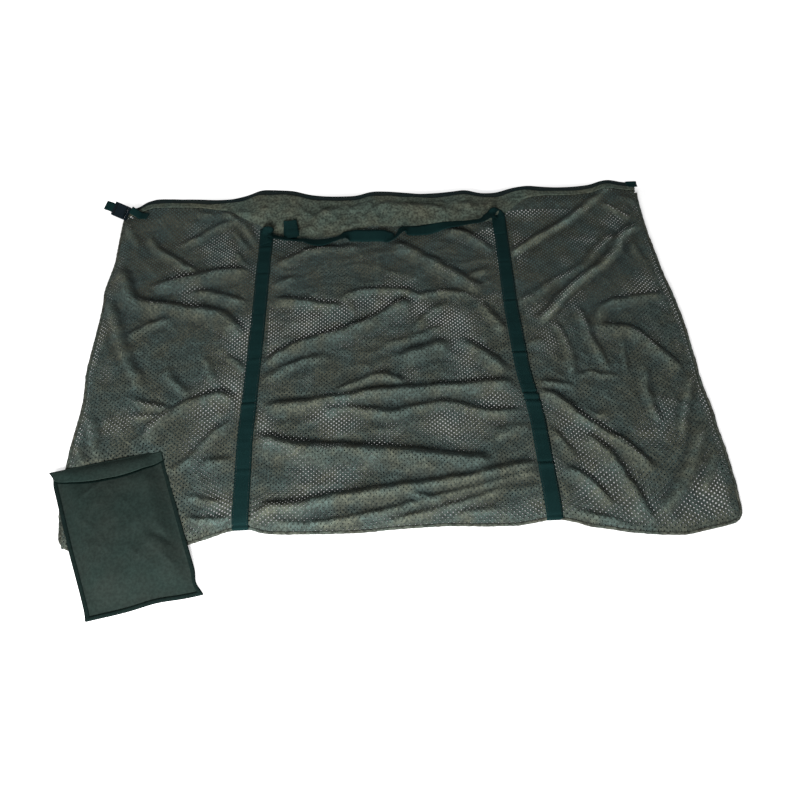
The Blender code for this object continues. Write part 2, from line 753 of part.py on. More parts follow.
def clip_male():
    """The male half's base with its bar, and the guide that enters the shell's mouth."""
    place = clip_frame()
    half_width = CLIP_WIDTH / 2
    half_thick = CLIP_THICKNESS / 2
    start = GAP
    length = CLIP_BASE_LENGTH + CLIP_SLOT + CLIP_BAR
    base = box("clip_male", (start, -half_width, -half_thick), (start + length, half_width, half_thick), clip_plastic(), place)
    soften(base, CLIP_WALL / 2)
    slot = helper_box(
        "clip_male_slot",
        (start + CLIP_BASE_LENGTH, -CLIP_WEBBING / 2 - CLIP_CLEARANCE, -CLIP_THICKNESS),
        (start + CLIP_BASE_LENGTH + CLIP_SLOT, CLIP_WEBBING / 2 + CLIP_CLEARANCE, CLIP_THICKNESS),
        place,
    )
    inside = half_thick - CLIP_WALL - CLIP_CLEARANCE
    guide = helper_box(
        "clip_guide",
        (-CLIP_SHELL_LENGTH + CLIP_WALL + 2 * CLIP_CLEARANCE, -CLIP_GUIDE_WIDTH / 2, -inside),
        (start + CLIP_BASE_LENGTH / 2, CLIP_GUIDE_WIDTH / 2, inside),
        place,
    )
    boolean(base, "DIFFERENCE", slot)
    boolean(base, "UNION", guide)


def clip_prongs():
    """The two springy arms, each with a pad in a window of the shell, where it is pressed to open the clip."""
    inside = CLIP_THICKNESS / 2 - CLIP_WALL - CLIP_CLEARANCE
    line = prong_line()
    for name, side in (("clip_prong_front", -1), ("clip_prong_back", 1)):
        root = clip_frame() @ Matrix.Translation((-GAP, side * line, 0))
        arm = box(name, (-PRONG_LENGTH, -PRONG_WIDTH / 2, -inside), (0, PRONG_WIDTH / 2, inside), clip_plastic())
        arm.matrix_world = root
        reach = CLIP_WIDTH / 2 - CLIP_WALL - CLIP_CLEARANCE - line
        low, high = sorted((0.0, side * reach))
        pad_start = GAP - WINDOW_START - PRONG_PAD_LENGTH - CLIP_CLEARANCE
        pad = helper_box(
            f"{name}_pad",
            (pad_start, low, -inside + CLIP_CLEARANCE / 2),
            (pad_start + PRONG_PAD_LENGTH, high, inside - CLIP_CLEARANCE / 2),
        )
        pad.matrix_world = root
        boolean(arm, "UNION", pad)


def clip_tabs():
    """Short webbing ends: a tab on the shell's bar, and a loop from the base's bar to the sack's corner."""
    place = clip_frame()
    half = CLIP_WEBBING / 2
    bar_end = -CLIP_SHELL_LENGTH - CLIP_SLOT - CLIP_BAR - GAP
    tab = box(
        "clip_female_tab",
        (bar_end - CLIP_TAB_LENGTH, -half, -WEBBING / 2),
        (bar_end, half, WEBBING / 2),
        webbing(),
        place,
    )
    set_origin(CLIP_CENTRE, tab)
    near = place @ Vector((CLIP_BASE_LENGTH + CLIP_SLOT + CLIP_BAR + 4 * GAP, 0, 0))
    across = place.to_3x3() @ Vector((0, half, 0))
    flat = Vector((across.x, across.y, 0)).normalized() * half
    fall = Vector((0, 0, ON_HEM + WEBBING / 2 - near.z))
    rows = (
        (near, across),
        (near + CLIP_LOOP_RUN * 0.25 + fall * 0.45, across.lerp(flat, 0.3)),
        (near + CLIP_LOOP_RUN * 0.5 + fall, flat),
        (near + CLIP_LOOP_RUN + fall, flat),
    )
    bm = bmesh.new()
    edges = [(bm.verts.new(middle - side), bm.verts.new(middle + side)) for middle, side in rows]
    for (low, high), (next_low, next_high) in zip(edges, edges[1:]):
        bm.faces.new((low, next_low, next_high, high))
    loop = mesh_object("clip_male_loop", bm, webbing())
    thicken(loop, WEBBING, 0.0)


POUCH_ALONG = Vector((math.cos(math.radians(POUCH_TOP_ANGLE)), math.sin(math.radians(POUCH_TOP_ANGLE)), 0))
POUCH_UP = Vector((-math.sin(math.radians(POUCH_SIDE_ANGLE)), math.cos(math.radians(POUCH_SIDE_ANGLE)), 0))


def pouch_ground(y):
    """Height of what lies under the pouch: the sack, and past its bottom edge the ground."""
    beyond = (BOTTOM_EDGE - WEBBING - y) / POUCH_RAMP
    return ON_TOP * (1 - smoothstep(beyond))


def pouch_point(across, up, height):
    """A point of the pouch, which follows what lies under it."""
    flat = Vector((*POUCH_CENTRE, 0)) + POUCH_ALONG * across + POUCH_UP * up
    return Vector((flat.x, flat.y, pouch_ground(flat.y) + height))


def pouch_dome(across, up):
    """How far the front shell stands off the back one: nothing at the bound edges, most in the middle."""
    to_side = POUCH_WIDTH / 2 - abs(across)
    to_bottom = POUCH_HEIGHT / 2 + up
    to_mouth = POUCH_HEIGHT / 2 - up + POUCH_MOUTH_EASE
    return POUCH_DOME * smoothstep(min(to_side, to_bottom, to_mouth) / POUCH_SHOULDER)


def front_underside(across, up):
    return CLOTH + POUCH_LAYER_GAP + pouch_dome(across, up)


STRIP_HIGH = POUCH_HEIGHT / 2 - TAPE_STRIP_DROP
STRIP_LOW = STRIP_HIGH - TAPE_STRIP_DEPTH
STRIP_REACH = TAPE_STRIP_LENGTH / 2


def pouch_sheet(outline):
    """A flat sheet with the cut lines that every layer of the pouch shares, so that the layers lie alike."""
    steps = math.ceil(max(POUCH_WIDTH, POUCH_HEIGHT) / 2 / POUCH_GRID)
    cuts = [step * POUCH_GRID for step in range(-steps, steps + 1)]
    x_cuts = with_edges(cuts, [-STRIP_REACH, STRIP_REACH], POUCH_GRID / 4)
    y_cuts = with_edges(cuts, [STRIP_LOW, STRIP_HIGH], POUCH_GRID / 4)
    return cut_sheet(outline, x_cuts, y_cuts)


def pouch_shells():
    """The back sheet, and the front one, which stops short of the top and leaves the mouth under the flap."""
    bottom, top = -POUCH_HEIGHT / 2, POUCH_HEIGHT / 2
    outline = rounded_outline(POUCH_WIDTH / 2, bottom, top, POUCH_CORNER, 3)
    to_mouth = rounded_outline(POUCH_WIDTH / 2, bottom, top - POUCH_MOUTH_DROP, POUCH_CORNER, 3)
    back = cloth_piece("pouch_back", pouch_sheet(outline), lambda a, b: pouch_point(a, b, 0.0), pouch_nylon())
    front = cloth_piece(
        "pouch_front",
        pouch_sheet(to_mouth),
        lambda a, b: pouch_point(a, b, front_underside(a, b)),
        pouch_nylon(),
    )
    set_origin(pouch_point(0, 0, 0), back, front)


def pouch_bindings():
    """Bound edges along both sides and the bottom, just outside the shells."""
    out = POUCH_BINDING_RADIUS + GAP
    x = POUCH_WIDTH / 2 + out
    low = -POUCH_HEIGHT / 2 - out
    height = POUCH_BINDING_RADIUS
    count = 14
    low_end = low + 2 * out
    high_end = POUCH_HEIGHT / 2 - POUCH_CORNER
    ups = [low_end + (high_end - low_end) * step / count for step in range(count + 1)]
    across = [-x + 2 * x * step / count for step in range(count + 1)]
    lines = (
        ("pouch_binding_left", [pouch_point(-x, up, height) for up in ups]),
        ("pouch_binding_right", [pouch_point(x, up, height) for up in ups]),
        ("pouch_binding_bottom", [pouch_point(a, low, height) for a in across]),
    )
    for name, line in lines:
        set_origin(pouch_point(0, 0, 0), tube(name, line, POUCH_BINDING_RADIUS, pouch_binding_cloth()))


def strip_lift(layer):
    """Height over the front shell's top of each layer of the closure: 0 loop tape, 1 hook tape, 2 flap."""
    return CLOTH + POUCH_LAYER_GAP + layer * (TAPE_STRIP + POUCH_LAYER_GAP)


def flap_underside(across, up):
    """From the back sheet's top edge, where the flap is sewn on, up and over the strips."""
    over_strips = front_underside(across, up) + strip_lift(2)
    share = smoothstep((POUCH_HEIGHT / 2 - up) / TAPE_STRIP_DROP)
    return (CLOTH + GAP) * (1 - share) + over_strips * share


def pouch_closure():
    """The flap, and the hook and loop strips that hold it to the front shell."""
    top = POUCH_HEIGHT / 2
    half = POUCH_WIDTH / 2 - POUCH_CORNER
    lower = []
    for step in range(9):
        share = 2 * step / 8 - 1
        depth = FLAP_MIDDLE_DEPTH + (FLAP_SIDE_DEPTH - FLAP_MIDDLE_DEPTH) * share**2
        lower.append((half * share, top - depth))
    outline = lower + [(half, top), (-half, top)]
    hinge = pouch_point(0, top, CLOTH + GAP)
    flap = cloth_piece(
        "pouch_flap",
        pouch_sheet(outline),
        lambda a, b: pouch_point(a, b, flap_underside(a, b)),
        pouch_nylon(),
    )
    set_origin(hinge, flap)
    strip = [
        (-STRIP_REACH, STRIP_LOW),
        (STRIP_REACH, STRIP_LOW),
        (STRIP_REACH, STRIP_HIGH),
        (-STRIP_REACH, STRIP_HIGH),
    ]
    for layer, (name, origin) in enumerate((("pouch_loop_tape", pouch_point(0, 0, 0)), ("pouch_hook_tape", hinge))):
        tape = cloth_piece(
            name,
            pouch_sheet(strip),
            lambda a, b, lift=strip_lift(layer): pouch_point(a, b, front_underside(a, b) + lift),
            hook_and_loop(),
            TAPE_STRIP,
        )
        set_origin(origin, tape)


def build():
    clear_scene()
    back_panel()
    front_panel()
    side_and_bottom_seams()
    straps()
    handles()
    hems()
    zip_tapes()
    zip_rows()
    zip_slider()
    zip_puller()
    zip_end_tab()
    clip_shell()
    clip_male()
    clip_prongs()
    clip_tabs()
    pouch_shells()
    pouch_bindings()
    pouch_closure()


build()
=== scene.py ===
"""Looks of a carp sack laid flat and zipped shut, with its storage pouch on its near left corner.

Lengths are in metres, in the frame of the solids: +X along the zip, +Y towards the zip and +Z up.
"""

import math

import bpy
import numpy as np
from mathutils import Matrix, Vector


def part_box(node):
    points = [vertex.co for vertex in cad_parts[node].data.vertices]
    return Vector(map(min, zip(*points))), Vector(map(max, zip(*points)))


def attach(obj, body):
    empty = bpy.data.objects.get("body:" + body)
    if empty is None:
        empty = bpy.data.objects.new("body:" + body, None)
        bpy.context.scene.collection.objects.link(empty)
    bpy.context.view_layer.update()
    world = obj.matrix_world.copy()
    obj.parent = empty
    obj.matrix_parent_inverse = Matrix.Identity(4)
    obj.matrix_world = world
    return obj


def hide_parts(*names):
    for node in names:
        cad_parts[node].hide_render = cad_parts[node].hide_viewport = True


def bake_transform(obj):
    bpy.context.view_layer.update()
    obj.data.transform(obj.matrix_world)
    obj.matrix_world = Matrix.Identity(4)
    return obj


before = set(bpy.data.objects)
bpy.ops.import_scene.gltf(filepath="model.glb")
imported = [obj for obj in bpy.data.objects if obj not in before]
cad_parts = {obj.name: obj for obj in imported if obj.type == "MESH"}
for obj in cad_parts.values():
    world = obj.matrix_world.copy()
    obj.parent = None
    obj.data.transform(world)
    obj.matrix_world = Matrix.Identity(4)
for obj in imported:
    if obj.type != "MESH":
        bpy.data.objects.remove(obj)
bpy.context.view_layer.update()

# Heights and lines that the solids have
FRONT_TOP = 0.0102
BACK_LIFT = 0.0019
BACK_RISE = 0.0034
SEAM_RADIUS = 0.00415
SEAM_HEIGHT = 0.00605
ROLL_RADIUS = SEAM_RADIUS - 0.0002
ROLL_UNEVEN = 0.0009
ROLL_SIDES = 12
WEBBING = 0.0016
WEBBING_WIDTH = 0.038
TAPE_DEPTH = 0.0275
ZIP_START = -0.72
ZIP_END = 0.728
HALF_WIDTH = 0.75
HALF_HEIGHT = 0.50
STRAP_WIDTH = 0.037
POUCH_HALF = (0.1225, 0.176)
POUCH_CORNERS = ((-0.659, -0.6485), (-0.424, -0.6065), (-0.548, -0.273), (-0.798, -0.315))

# The outline of the sack as it lies, in millimetres: (y, x) along its sides, (x, y) along its bottom edge
LEFT_EDGE = (
    (-520, -747), (-486, -749), (-380, -768), (-285, -769), (-240, -768), (-195, -764), (-150, -761),
    (-105, -762), (-60, -768), (-15, -768), (30, -765), (75, -764), (120, -762), (165, -762), (210, -766),
    (255, -759), (300, -753), (345, -753), (390, -754), (440, -754), (520, -752),
)
RIGHT_EDGE = (
    (-530, 755), (-500, 758), (-460, 760), (-415, 764), (-370, 764), (-325, 765), (-280, 761), (-235, 764),
    (-190, 759), (-145, 756), (-100, 759), (-55, 758), (-10, 760), (35, 759), (80, 756), (125, 752),
    (170, 746), (215, 742), (260, 740), (305, 737), (350, 735), (395, 735), (440, 735), (520, 748),
)
LOW_EDGE = (
    (-760, -498), (-620, -505), (-465, -500), (-420, -487), (-380, -474), (-340, -469), (-300, -483),
    (-260, -487), (-180, -490), (-100, -492), (-60, -491), (-20, -488), (20, -487), (100, -486),
    (140, -488), (180, -491), (260, -493), (300, -488), (340, -481), (380, -489), (420, -504), (460, -511),
    (500, -520), (540, -526), (580, -530), (620, -532), (660, -524), (700, -517), (740, -508), (760, -506),
)
# Humps of the top edge, (x, size), and how far it is drawn out besides them, (x, y), in millimetres
HUMPS = (
    (-760, 0), (-715, 0), (-690, 12), (-660, 24), (-620, 33), (-575, 33), (-530, 30), (-485, 25),
    (-440, 25), (-395, 36), (-350, 57), (-305, 53), (-260, 48), (-215, 29), (-170, 21), (-125, 18),
    (-80, 18), (-35, 33), (10, 30), (55, 23), (100, 15), (145, 15), (190, 18), (235, 24), (280, 7),
    (325, 6), (370, 23), (415, 30), (460, 22), (505, 17), (550, 17), (595, 21), (640, 36), (670, 26),
    (700, 8), (725, 3), (760, 0),
)
TOP_OUT = (
    (-760, 3), (-729, 5), (-710, 8), (-690, 16), (-660, 14), (-620, 4), (-580, 0), (600, 0), (640, 4),
    (680, 12), (700, 18), (739, 23), (760, 23),
)

# How much of a hump's size goes up and how much goes out
HUMP_UP = 0.60
HUMP_OUT = 0.40

# Middle lines of the front straps, (y, x) in millimetres
LEFT_STRAP = (
    (-600, -351), (-470, -352), (-260, -354), (28, -344), (368, -335), (500, -333),
)
RIGHT_STRAP = (
    (-600, 344), (-478, 342), (-228, 338), (-98, 322), (100, 317), (397, 322), (500, 324),
)

# Folds of the front cloth, in millimetres: crest line, height, width on the right of the line and on its left
FOLDS = (
    (((-730, 287), (-710, 223), (-686, 169), (-634, 144), (-582, 135), (-530, 124), (-465, 109),
      (-419, 80), (-381, 32)), 15, 34, 14),
    (((-754, 181), (-723, 108), (-686, 15), (-650, -59), (-642, -64), (-623, -115)), 9, 18, 14),
    (((-684, 40), (-627, 75), (-588, 92), (-551, 98)), 8, 22, 12),
    (((-675, 402), (-635, 333), (-591, 300), (-540, 263), (-505, 244)), 10, 18, 12),
    (((-643, 204), (-592, 215), (-542, 227), (-477, 240), (-412, 243), (-365, 247)), 14, 34, 14),
    (((-535, 186), (-486, 178), (-433, 157), (-360, 131)), 9, 24, 12),
    (((-745, 447), (-715, 390), (-684, 339)), 6, 14, 10),
    (((-734, 492), (-673, 509), (-616, 505), (-564, 482), (-513, 455), (-470, 444)), 7, 16, 8),
    (((-593, 339), (-531, 367), (-467, 410), (-413, 421)), 8, 18, 10),
    (((-473, 479), (-438, 436), (-397, 397), (-360, 336)), 8, 16, 12),
    (((-443, 488), (-405, 502), (-356, 509), (-306, 503)), 6, 26, 8),
    (((-440, 406), (-401, 345), (-369, 312)), 6, 12, 10),
    (((-420, 325), (-397, 280), (-365, 257)), 5, 12, 8),
    (((-311, 246), (-256, 285), (-203, 308), (-136, 310), (-55, 310)), 8, 22, 14),
    (((-315, 178), (-280, 201), (-235, 228)), 6, 16, 10),
    (((-316, 146), (-251, 137), (-187, 125), (-117, 113)), 12, 26, 12),
    (((-121, 149), (-102, 116), (-96, 84)), 4, 10, 8),
    (((-136, 140), (-91, 150), (-50, 161), (34, 157), (78, 138), (143, 142), (194, 131),
      (240, 117)), 9, 14, 12),
    (((-317, -59), (-270, -22), (-210, 5), (-148, 25), (-86, 47), (-29, 74), (30, 110), (68, 122)),
      16, 34, 14),
    (((-326, -103), (-265, -71), (-205, -47), (-144, -36)), 8, 20, 12),
    (((11, -62), (67, -39), (124, -24), (159, -7)), 15, 28, 16),
    (((159, -7), (202, -35), (247, -74), (283, -119)), 15, 28, 16),
    (((-25, 325), (-30, 252), (-39, 177)), 3, 8, 10),
    (((58, 13), (72, 43), (107, 83), (160, 112)), 6, 16, 12),
    (((-36, -18), (39, 0), (109, 26), (154, 39)), 5, 14, 10),
    (((9, 331), (86, 273), (162, 215), (222, 164), (251, 137)), 12, 30, 16),
    (((154, 372), (213, 342), (264, 305), (301, 276)), 10, 24, 14),
    (((332, 258), (428, 320), (504, 370), (585, 430), (636, 480), (674, 505)), 13, 11, 13),
    (((379, 36), (414, 62), (461, 116), (522, 169), (584, 216), (629, 260), (651, 301), (689, 335),
      (720, 349)), 14, 12, 14),
    (((324, 92), (386, 126), (458, 171), (524, 209), (598, 282), (656, 332)), 7, 14, 14),
    (((510, 13), (534, 23), (556, 72), (618, 92), (684, 100), (743, 106)), 9, 22, 12),
    (((507, 15), (568, 7), (615, -7), (650, -43), (687, -93), (708, -140)), 11, 28, 12),
    (((478, 97), (494, 41), (501, -19), (519, -86), (533, -122)), 7, 16, 12),
    (((671, 306), (687, 252), (703, 208)), 5, 16, 10),
    (((660, 450), (690, 457), (719, 432)), 5, 14, 8),
    (((620, 427), (663, 396), (702, 371)), 6, 12, 8),
    (((209, 190), (240, 205), (275, 222)), 6, 12, 10),
    (((231, 116), (257, 61), (290, -1)), 9, 16, 14),
    (((414, 54), (434, -15), (434, -123)), 6, 14, 10),
    (((339, -31), (391, -12)), 5, 12, 8),
    (((580, 0), (580, -59), (571, -130)), 5, 10, 8),
    (((-228, 356), (-185, 418), (-136, 463)), 7, 26, 12),
    (((-129, 466), (-59, 475), (18, 465), (87, 448), (138, 438), (185, 412)), 10, 36, 10),
    (((162, 469), (204, 463), (250, 435), (282, 405)), 6, 16, 10),
    (((-743, -160), (-724, -220), (-701, -274), (-686, -309)), 8, 14, 14),
    (((-761, -254), (-746, -264), (-726, -308)), 5, 10, 8),
    (((-545, -180), (-512, -162), (-467, -142), (-421, -136), (-379, -149)), 13, 34, 12),
    (((-594, -258), (-571, -212), (-540, -184), (-502, -165)), 8, 24, 14),
    (((-659, -130), (-615, -147), (-560, -165), (-524, -173)), 8, 16, 10),
    (((-646, -185), (-593, -185), (-542, -178)), 5, 12, 8),
    (((-575, -24), (-557, -74), (-525, -114), (-481, -139)), 7, 16, 12),
    (((-420, -17), (-387, -51), (-358, -78)), 6, 14, 10),
    (((-473, -14), (-460, -64), (-434, -108)), 5, 12, 10),
    (((-521, -341), (-486, -309), (-445, -265), (-409, -229), (-381, -208)), 7, 18, 12),
    (((-453, -308), (-419, -310), (-371, -310)), 6, 14, 8),
    (((-499, -388), (-444, -400), (-378, -411)), 6, 14, 8),
    (((-487, -445), (-428, -450), (-390, -450), (-365, -447)), 7, 12, 8),
    (((-324, -174), (-260, -175), (-202, -171), (-167, -164), (-114, -158), (-55, -148), (4, -147),
      (61, -146), (150, -144), (227, -140), (299, -140)), 15, 28, 12),
    (((-158, -146), (-108, -126), (-54, -107), (-15, -105), (17, -117), (47, -132)), 9, 16, 10),
    (((-184, -192), (-114, -189), (-62, -203), (1, -210), (46, -196), (117, -191), (163, -201),
      (202, -213), (254, -219), (312, -222)), 9, 20, 12),
    (((-336, -254), (-284, -273), (-227, -286), (-115, -299), (-3, -312), (78, -324), (133, -331),
      (172, -337), (226, -348)), 19, 44, 14),
    (((-330, -443), (-277, -432), (-213, -427), (-143, -417), (-61, -404), (-7, -400), (46, -395),
      (101, -391), (168, -382), (224, -370), (270, -361), (328, -359)), 14, 24, 12),
    (((7, -398), (61, -423), (115, -417), (182, -406), (245, -387), (296, -377), (330, -377)), 9, 16, 8),
    (((-299, -457), (-197, -470), (-117, -465), (-47, -450), (5, -443), (65, -432), (121, -421)), 8, 14, 8),
    (((-55, -475), (15, -468), (80, -453), (141, -438), (196, -425), (253, -405)), 8, 14, 7),
    (((84, -474), (149, -462), (204, -457), (241, -460)), 6, 12, 8),
    (((223, -289), (266, -268), (321, -252)), 6, 14, 12),
    (((-52, -248), (-6, -249), (21, -231)), 3, 8, 6),
    (((344, -160), (387, -186), (436, -238), (496, -289), (542, -338), (591, -393)), 12, 24, 10),
    (((435, -279), (472, -325), (497, -366), (516, -408), (533, -455), (552, -505)), 12, 28, 12),
    (((361, -261), (385, -306), (417, -351)), 7, 18, 10),
    (((366, -367), (400, -378), (429, -403), (451, -433), (476, -469)), 11, 22, 10),
    (((385, -471), (441, -486), (496, -507), (556, -521)), 7, 12, 8),
    (((732, -124), (709, -178), (683, -243), (656, -305)), 8, 12, 12),
    (((571, -492), (617, -447), (666, -385), (698, -326), (729, -265)), 9, 16, 14),
    (((676, -452), (709, -392), (741, -327)), 6, 10, 10),
    (((622, -90), (612, -159), (614, -226), (629, -275)), 8, 16, 10),
    (((434, -143), (483, -120), (516, -133), (570, -133)), 6, 10, 8),
    (((348, -137), (394, -145), (454, -165)), 7, 12, 8),
    (((452, -206), (479, -234), (512, -231)), 5, 10, 8),
    (((439, -20), (445, -79), (439, -138)), 6, 12, 10),
    (((578, -42), (576, -92), (573, -134)), 5, 10, 8),
)

# The two folds, by their place in the list, that get the strongest painted highlight
PAINTED_HIGHLIGHT_FOLDS = (27, 28)

# How much higher, and wider on their left, the folds lie than listed
FOLD_GROWTH = 1.45
BACK_GROWTH = 1.75

# How far the front cloth rises and sinks at most, and how far it stays over the back one
HIGHEST = 0.036
LOWEST = -0.0036
SHEETS_APART = 0.0032


def smoothstep(value):
    value = np.clip(value, 0.0, 1.0)
    return value * value * (3 - 2 * value)


def hashed(ix, iy, seed):
    """A number from 0 to 1 for each whole-number place, the same one each time."""
    n = (ix.astype(np.int64) * 374761393 + iy.astype(np.int64) * 668265263 + seed * 974634777) & 0xFFFFFFFF
    n = ((n ^ (n >> 13)) * 1274126177) & 0xFFFFFFFF
    return (n ^ (n >> 16)) / 4294967296.0


def noise(x, y, size, seed):
    """Smooth hills and hollows about size across, from about -1 to 1."""
    x = np.asarray(x, float) / size
    y = np.asarray(y, float) / size
    ix, iy = np.floor(x), np.floor(y)
    fx, fy = x - ix, y - iy
    ux = fx**3 * (fx * (6 * fx - 15) + 10)
    uy = fy**3 * (fy * (6 * fy - 15) + 10)
    total = 0.0
    for dx, wx in ((0, 1 - ux), (1, ux)):
        for dy, wy in ((0, 1 - uy), (1, uy)):
            angle = 2 * math.pi * hashed(ix + dx, iy + dy, seed)
            total = total + wx * wy * (np.cos(angle) * (fx - dx) + np.sin(angle) * (fy - dy))
    return 1.6 * total


def smooth_table(table, value, width):
    """What the table in millimetres gives for the value, averaged over a few places within width."""
    places, results = np.array(table).T / 1000
    steps = np.linspace(-1, 1, 9)
    weights = np.cos(steps * math.pi / 2) ** 2 + 1e-3
    total = sum(w * np.interp(value + s * width, places, results) for s, w in zip(steps, weights))
    return total / weights.sum()


def edge_left(y):
    return smooth_table(LEFT_EDGE, y, 0.03)


def edge_right(y):
    return smooth_table(RIGHT_EDGE, y, 0.03)


def edge_low(x):
    return smooth_table(LOW_EDGE, x, 0.02)


def hump(x):
    return smooth_table(HUMPS, x, 0.03)


def top_out(x):
    """How far the top edge is drawn out beyond the straight, besides its humps."""
    return smooth_table(TOP_OUT, x, 0.012) + HUMP_OUT * hump(x)


def top_share(y):
    return smoothstep((y - 0.36) / 0.14)


# How far places on the net stray from their flat ones, over broad and over small distances
BROAD_DRIFT = 0.0036
SMALL_DRIFT = 0.0009


def laid(u, v, drift=None):
    """Where a point of the flat cloth lies on the ground plan."""
    to_left = smoothstep((-0.42 - u) / 0.33)
    to_right = smoothstep((u - 0.42) / 0.33)
    to_low = smoothstep((-0.20 - v) / 0.30)
    x = u + to_left * (edge_left(v) + HALF_WIDTH) + to_right * (edge_right(v) - HALF_WIDTH)
    y = v + to_low * (edge_low(u) + HALF_HEIGHT) + top_out(u) * top_share(v)
    if drift is not None:
        inside = smoothstep(np.minimum(HALF_WIDTH - np.abs(u), HALF_HEIGHT - np.abs(v)) / 0.06)
        stray_x = BROAD_DRIFT * noise(u, v, 0.26, drift) + SMALL_DRIFT * noise(u, v, 0.08, drift + 1)
        stray_y = BROAD_DRIFT * noise(u, v, 0.24, drift + 2) + SMALL_DRIFT * noise(u, v, 0.08, drift + 3)
        x, y = x + inside * stray_x, y + inside * stray_y
    return x, y


# The cloth's heights over a fine plan grid
STEP = 0.003
PLAN_X = np.arange(-0.822, 0.8221, STEP)
PLAN_Y = np.arange(-0.600, 0.5821, STEP)
GX, GY = np.meshgrid(PLAN_X, PLAN_Y)


def sample(grid, x, y):
    fx = np.clip((np.asarray(x) - PLAN_X[0]) / STEP, 0, len(PLAN_X) - 1.001)
    fy = np.clip((np.asarray(y) - PLAN_Y[0]) / STEP, 0, len(PLAN_Y) - 1.001)
    ix, iy = fx.astype(int), fy.astype(int)
    tx, ty = fx - ix, fy - iy
    low = grid[iy, ix] * (1 - tx) + grid[iy, ix + 1] * tx
    high = grid[iy + 1, ix] * (1 - tx) + grid[iy + 1, ix + 1] * tx
    return low * (1 - ty) + high * ty


def blurred(grid, radius):
    reach = max(1, int(2.5 * radius / STEP))
    steps = np.arange(-reach, reach + 1) * STEP
    weights = np.exp(-0.5 * (steps / radius) ** 2)
    weights /= weights.sum()
    for axis in (0, 1):
        pads = [(0, 0), (0, 0)]
        pads[axis] = (reach, reach)
        padded = np.pad(grid, pads, mode="edge")
        grid = np.apply_along_axis(lambda row: np.convolve(row, weights, "valid"), axis, padded)
    return grid


def curve(points, count):
    """A smooth line through the points, with count places evenly spread over its spans."""
    points = np.array(points, float)
    ends = np.vstack([2 * points[0] - points[1], points, 2 * points[-1] - points[-2]])
    t = np.linspace(0, len(points) - 1, count)
    i = np.minimum(t.astype(int), len(points) - 2)
    t = (t - i)[:, None]
    a, b, c, d = ends[i], ends[i + 1], ends[i + 2], ends[i + 3]
    return 0.5 * (2 * b + (c - a) * t + (2 * a - 5 * b + 4 * c - d) * t**2 + (3 * b - a - 3 * c + d) * t**3)


def reached(points):
    return np.concatenate([[0], np.cumsum(np.linalg.norm(np.diff(points, axis=0), axis=1))])


def fold(x, y, points, tall, right_width, left_width):
    """Height maps of a ridge along a line in millimetres, and of the groove on its left.

    The ridge falls evenly to the right and steeply to the left.
    """
    points = np.array(points) / 1000
    line = curve(points, 8 * len(points))
    reach = 0.012 + max(1.1 * right_width, 2.4 * left_width)
    low, high = line.min(0) - reach, line.max(0) + reach
    near = (x > low[0]) & (x < high[0]) & (y > low[1]) & (y < high[1])
    px, py = x[near], y[near]
    best = np.full(px.shape, 9.0)
    side = np.zeros(px.shape)
    share = np.zeros(px.shape)
    run = reached(line)
    for k in range(len(line) - 1):
        ax, ay = line[k]
        bx, by = line[k + 1] - line[k]
        t = np.clip(((px - ax) * bx + (py - ay) * by) / (bx * bx + by * by), 0, 1)
        dx, dy = px - ax - t * bx, py - ay - t * by
        away = np.hypot(dx, dy)
        closer = away < best
        best = np.where(closer, away, best)
        side = np.where(closer, dx * by - dy * bx, side)
        share = np.where(closer, run[k] + t * (run[k + 1] - run[k]), share)
    fade = np.minimum(0.045, 0.3 * run[-1])
    ends = smoothstep(share / fade) * smoothstep((run[-1] - share) / fade)
    uneven = 0.88 + 0.22 * noise(share, np.zeros_like(share) + points[0][0] * 7, 0.06, 77)
    lit = np.clip(1 - best / (1.1 * right_width), 0, 1) ** 1.35
    dark = smoothstep(1 - best / (BACK_GROWTH * left_width))
    ridge = np.zeros_like(x)
    ridge[near] = tall * np.where(side > 0, lit, dark) * (0.25 + 0.75 * ends) * ends**0.3 * uneven
    groove = np.zeros_like(x)
    beside = np.exp(-(((best - 1.7 * left_width) / (0.5 * left_width)) ** 2)) * (side < 0)
    groove[near] = 0.16 * tall * beside * ends
    return ridge, groove


def crease(x, y, turn, size, long, seed):
    """Small sharp wrinkles that run one way, about size apart and long times as long."""
    c, s = math.cos(turn), math.sin(turn)
    u, v = c * x + s * y, -s * x + c * y
    bend = 0.5 * size * noise(u, v, 2.2 * size, seed + 50)
    return np.clip(1 - 2.2 * np.abs(noise(u / long, v + bend, size, seed)), 0, 1) ** 1.5


def pouch_place(across, up):
    """Plan point of the pouch; across and up run from -1 to 1."""
    s, t = (np.asarray(across) + 1) / 2, (np.asarray(up) + 1) / 2
    (ax, ay), (bx, by), (cx, cy), (dx, dy) = POUCH_CORNERS
    x = (1 - t) * ((1 - s) * ax + s * bx) + t * ((1 - s) * dx + s * cx)
    y = (1 - t) * ((1 - s) * ay + s * by) + t * ((1 - s) * dy + s * cy)
    return x, y


def beyond_pouch(x, y):
    """How far a point lies outside the pouch's outline, below 0 inside."""
    corners = np.array(POUCH_CORNERS)
    best = np.full(np.shape(x), -9.0)
    for (ax, ay), (bx, by) in zip(corners, np.roll(corners, -1, axis=0)):
        nx, ny = by - ay, ax - bx
        size = math.hypot(nx, ny)
        best = np.maximum(best, ((x - ax) * nx + (y - ay) * ny) / size)
    return best


def strap_line(side, y):
    return smooth_table(LEFT_STRAP if side < 0 else RIGHT_STRAP, y, 0.04)


def edge_gap():
    """How far each place of the plan grid lies inside the sack's outline."""
    return np.minimum(np.minimum(GX - edge_left(GY), edge_right(GY) - GX), GY - edge_low(GX))


# Size, height, length in sizes and seed of three layers of fine creases
WRINKLES = ((0.060, 0.0030, 3.2, 11), (0.032, 0.0020, 3.0, 21), (0.016, 0.0008, 2.5, 31))


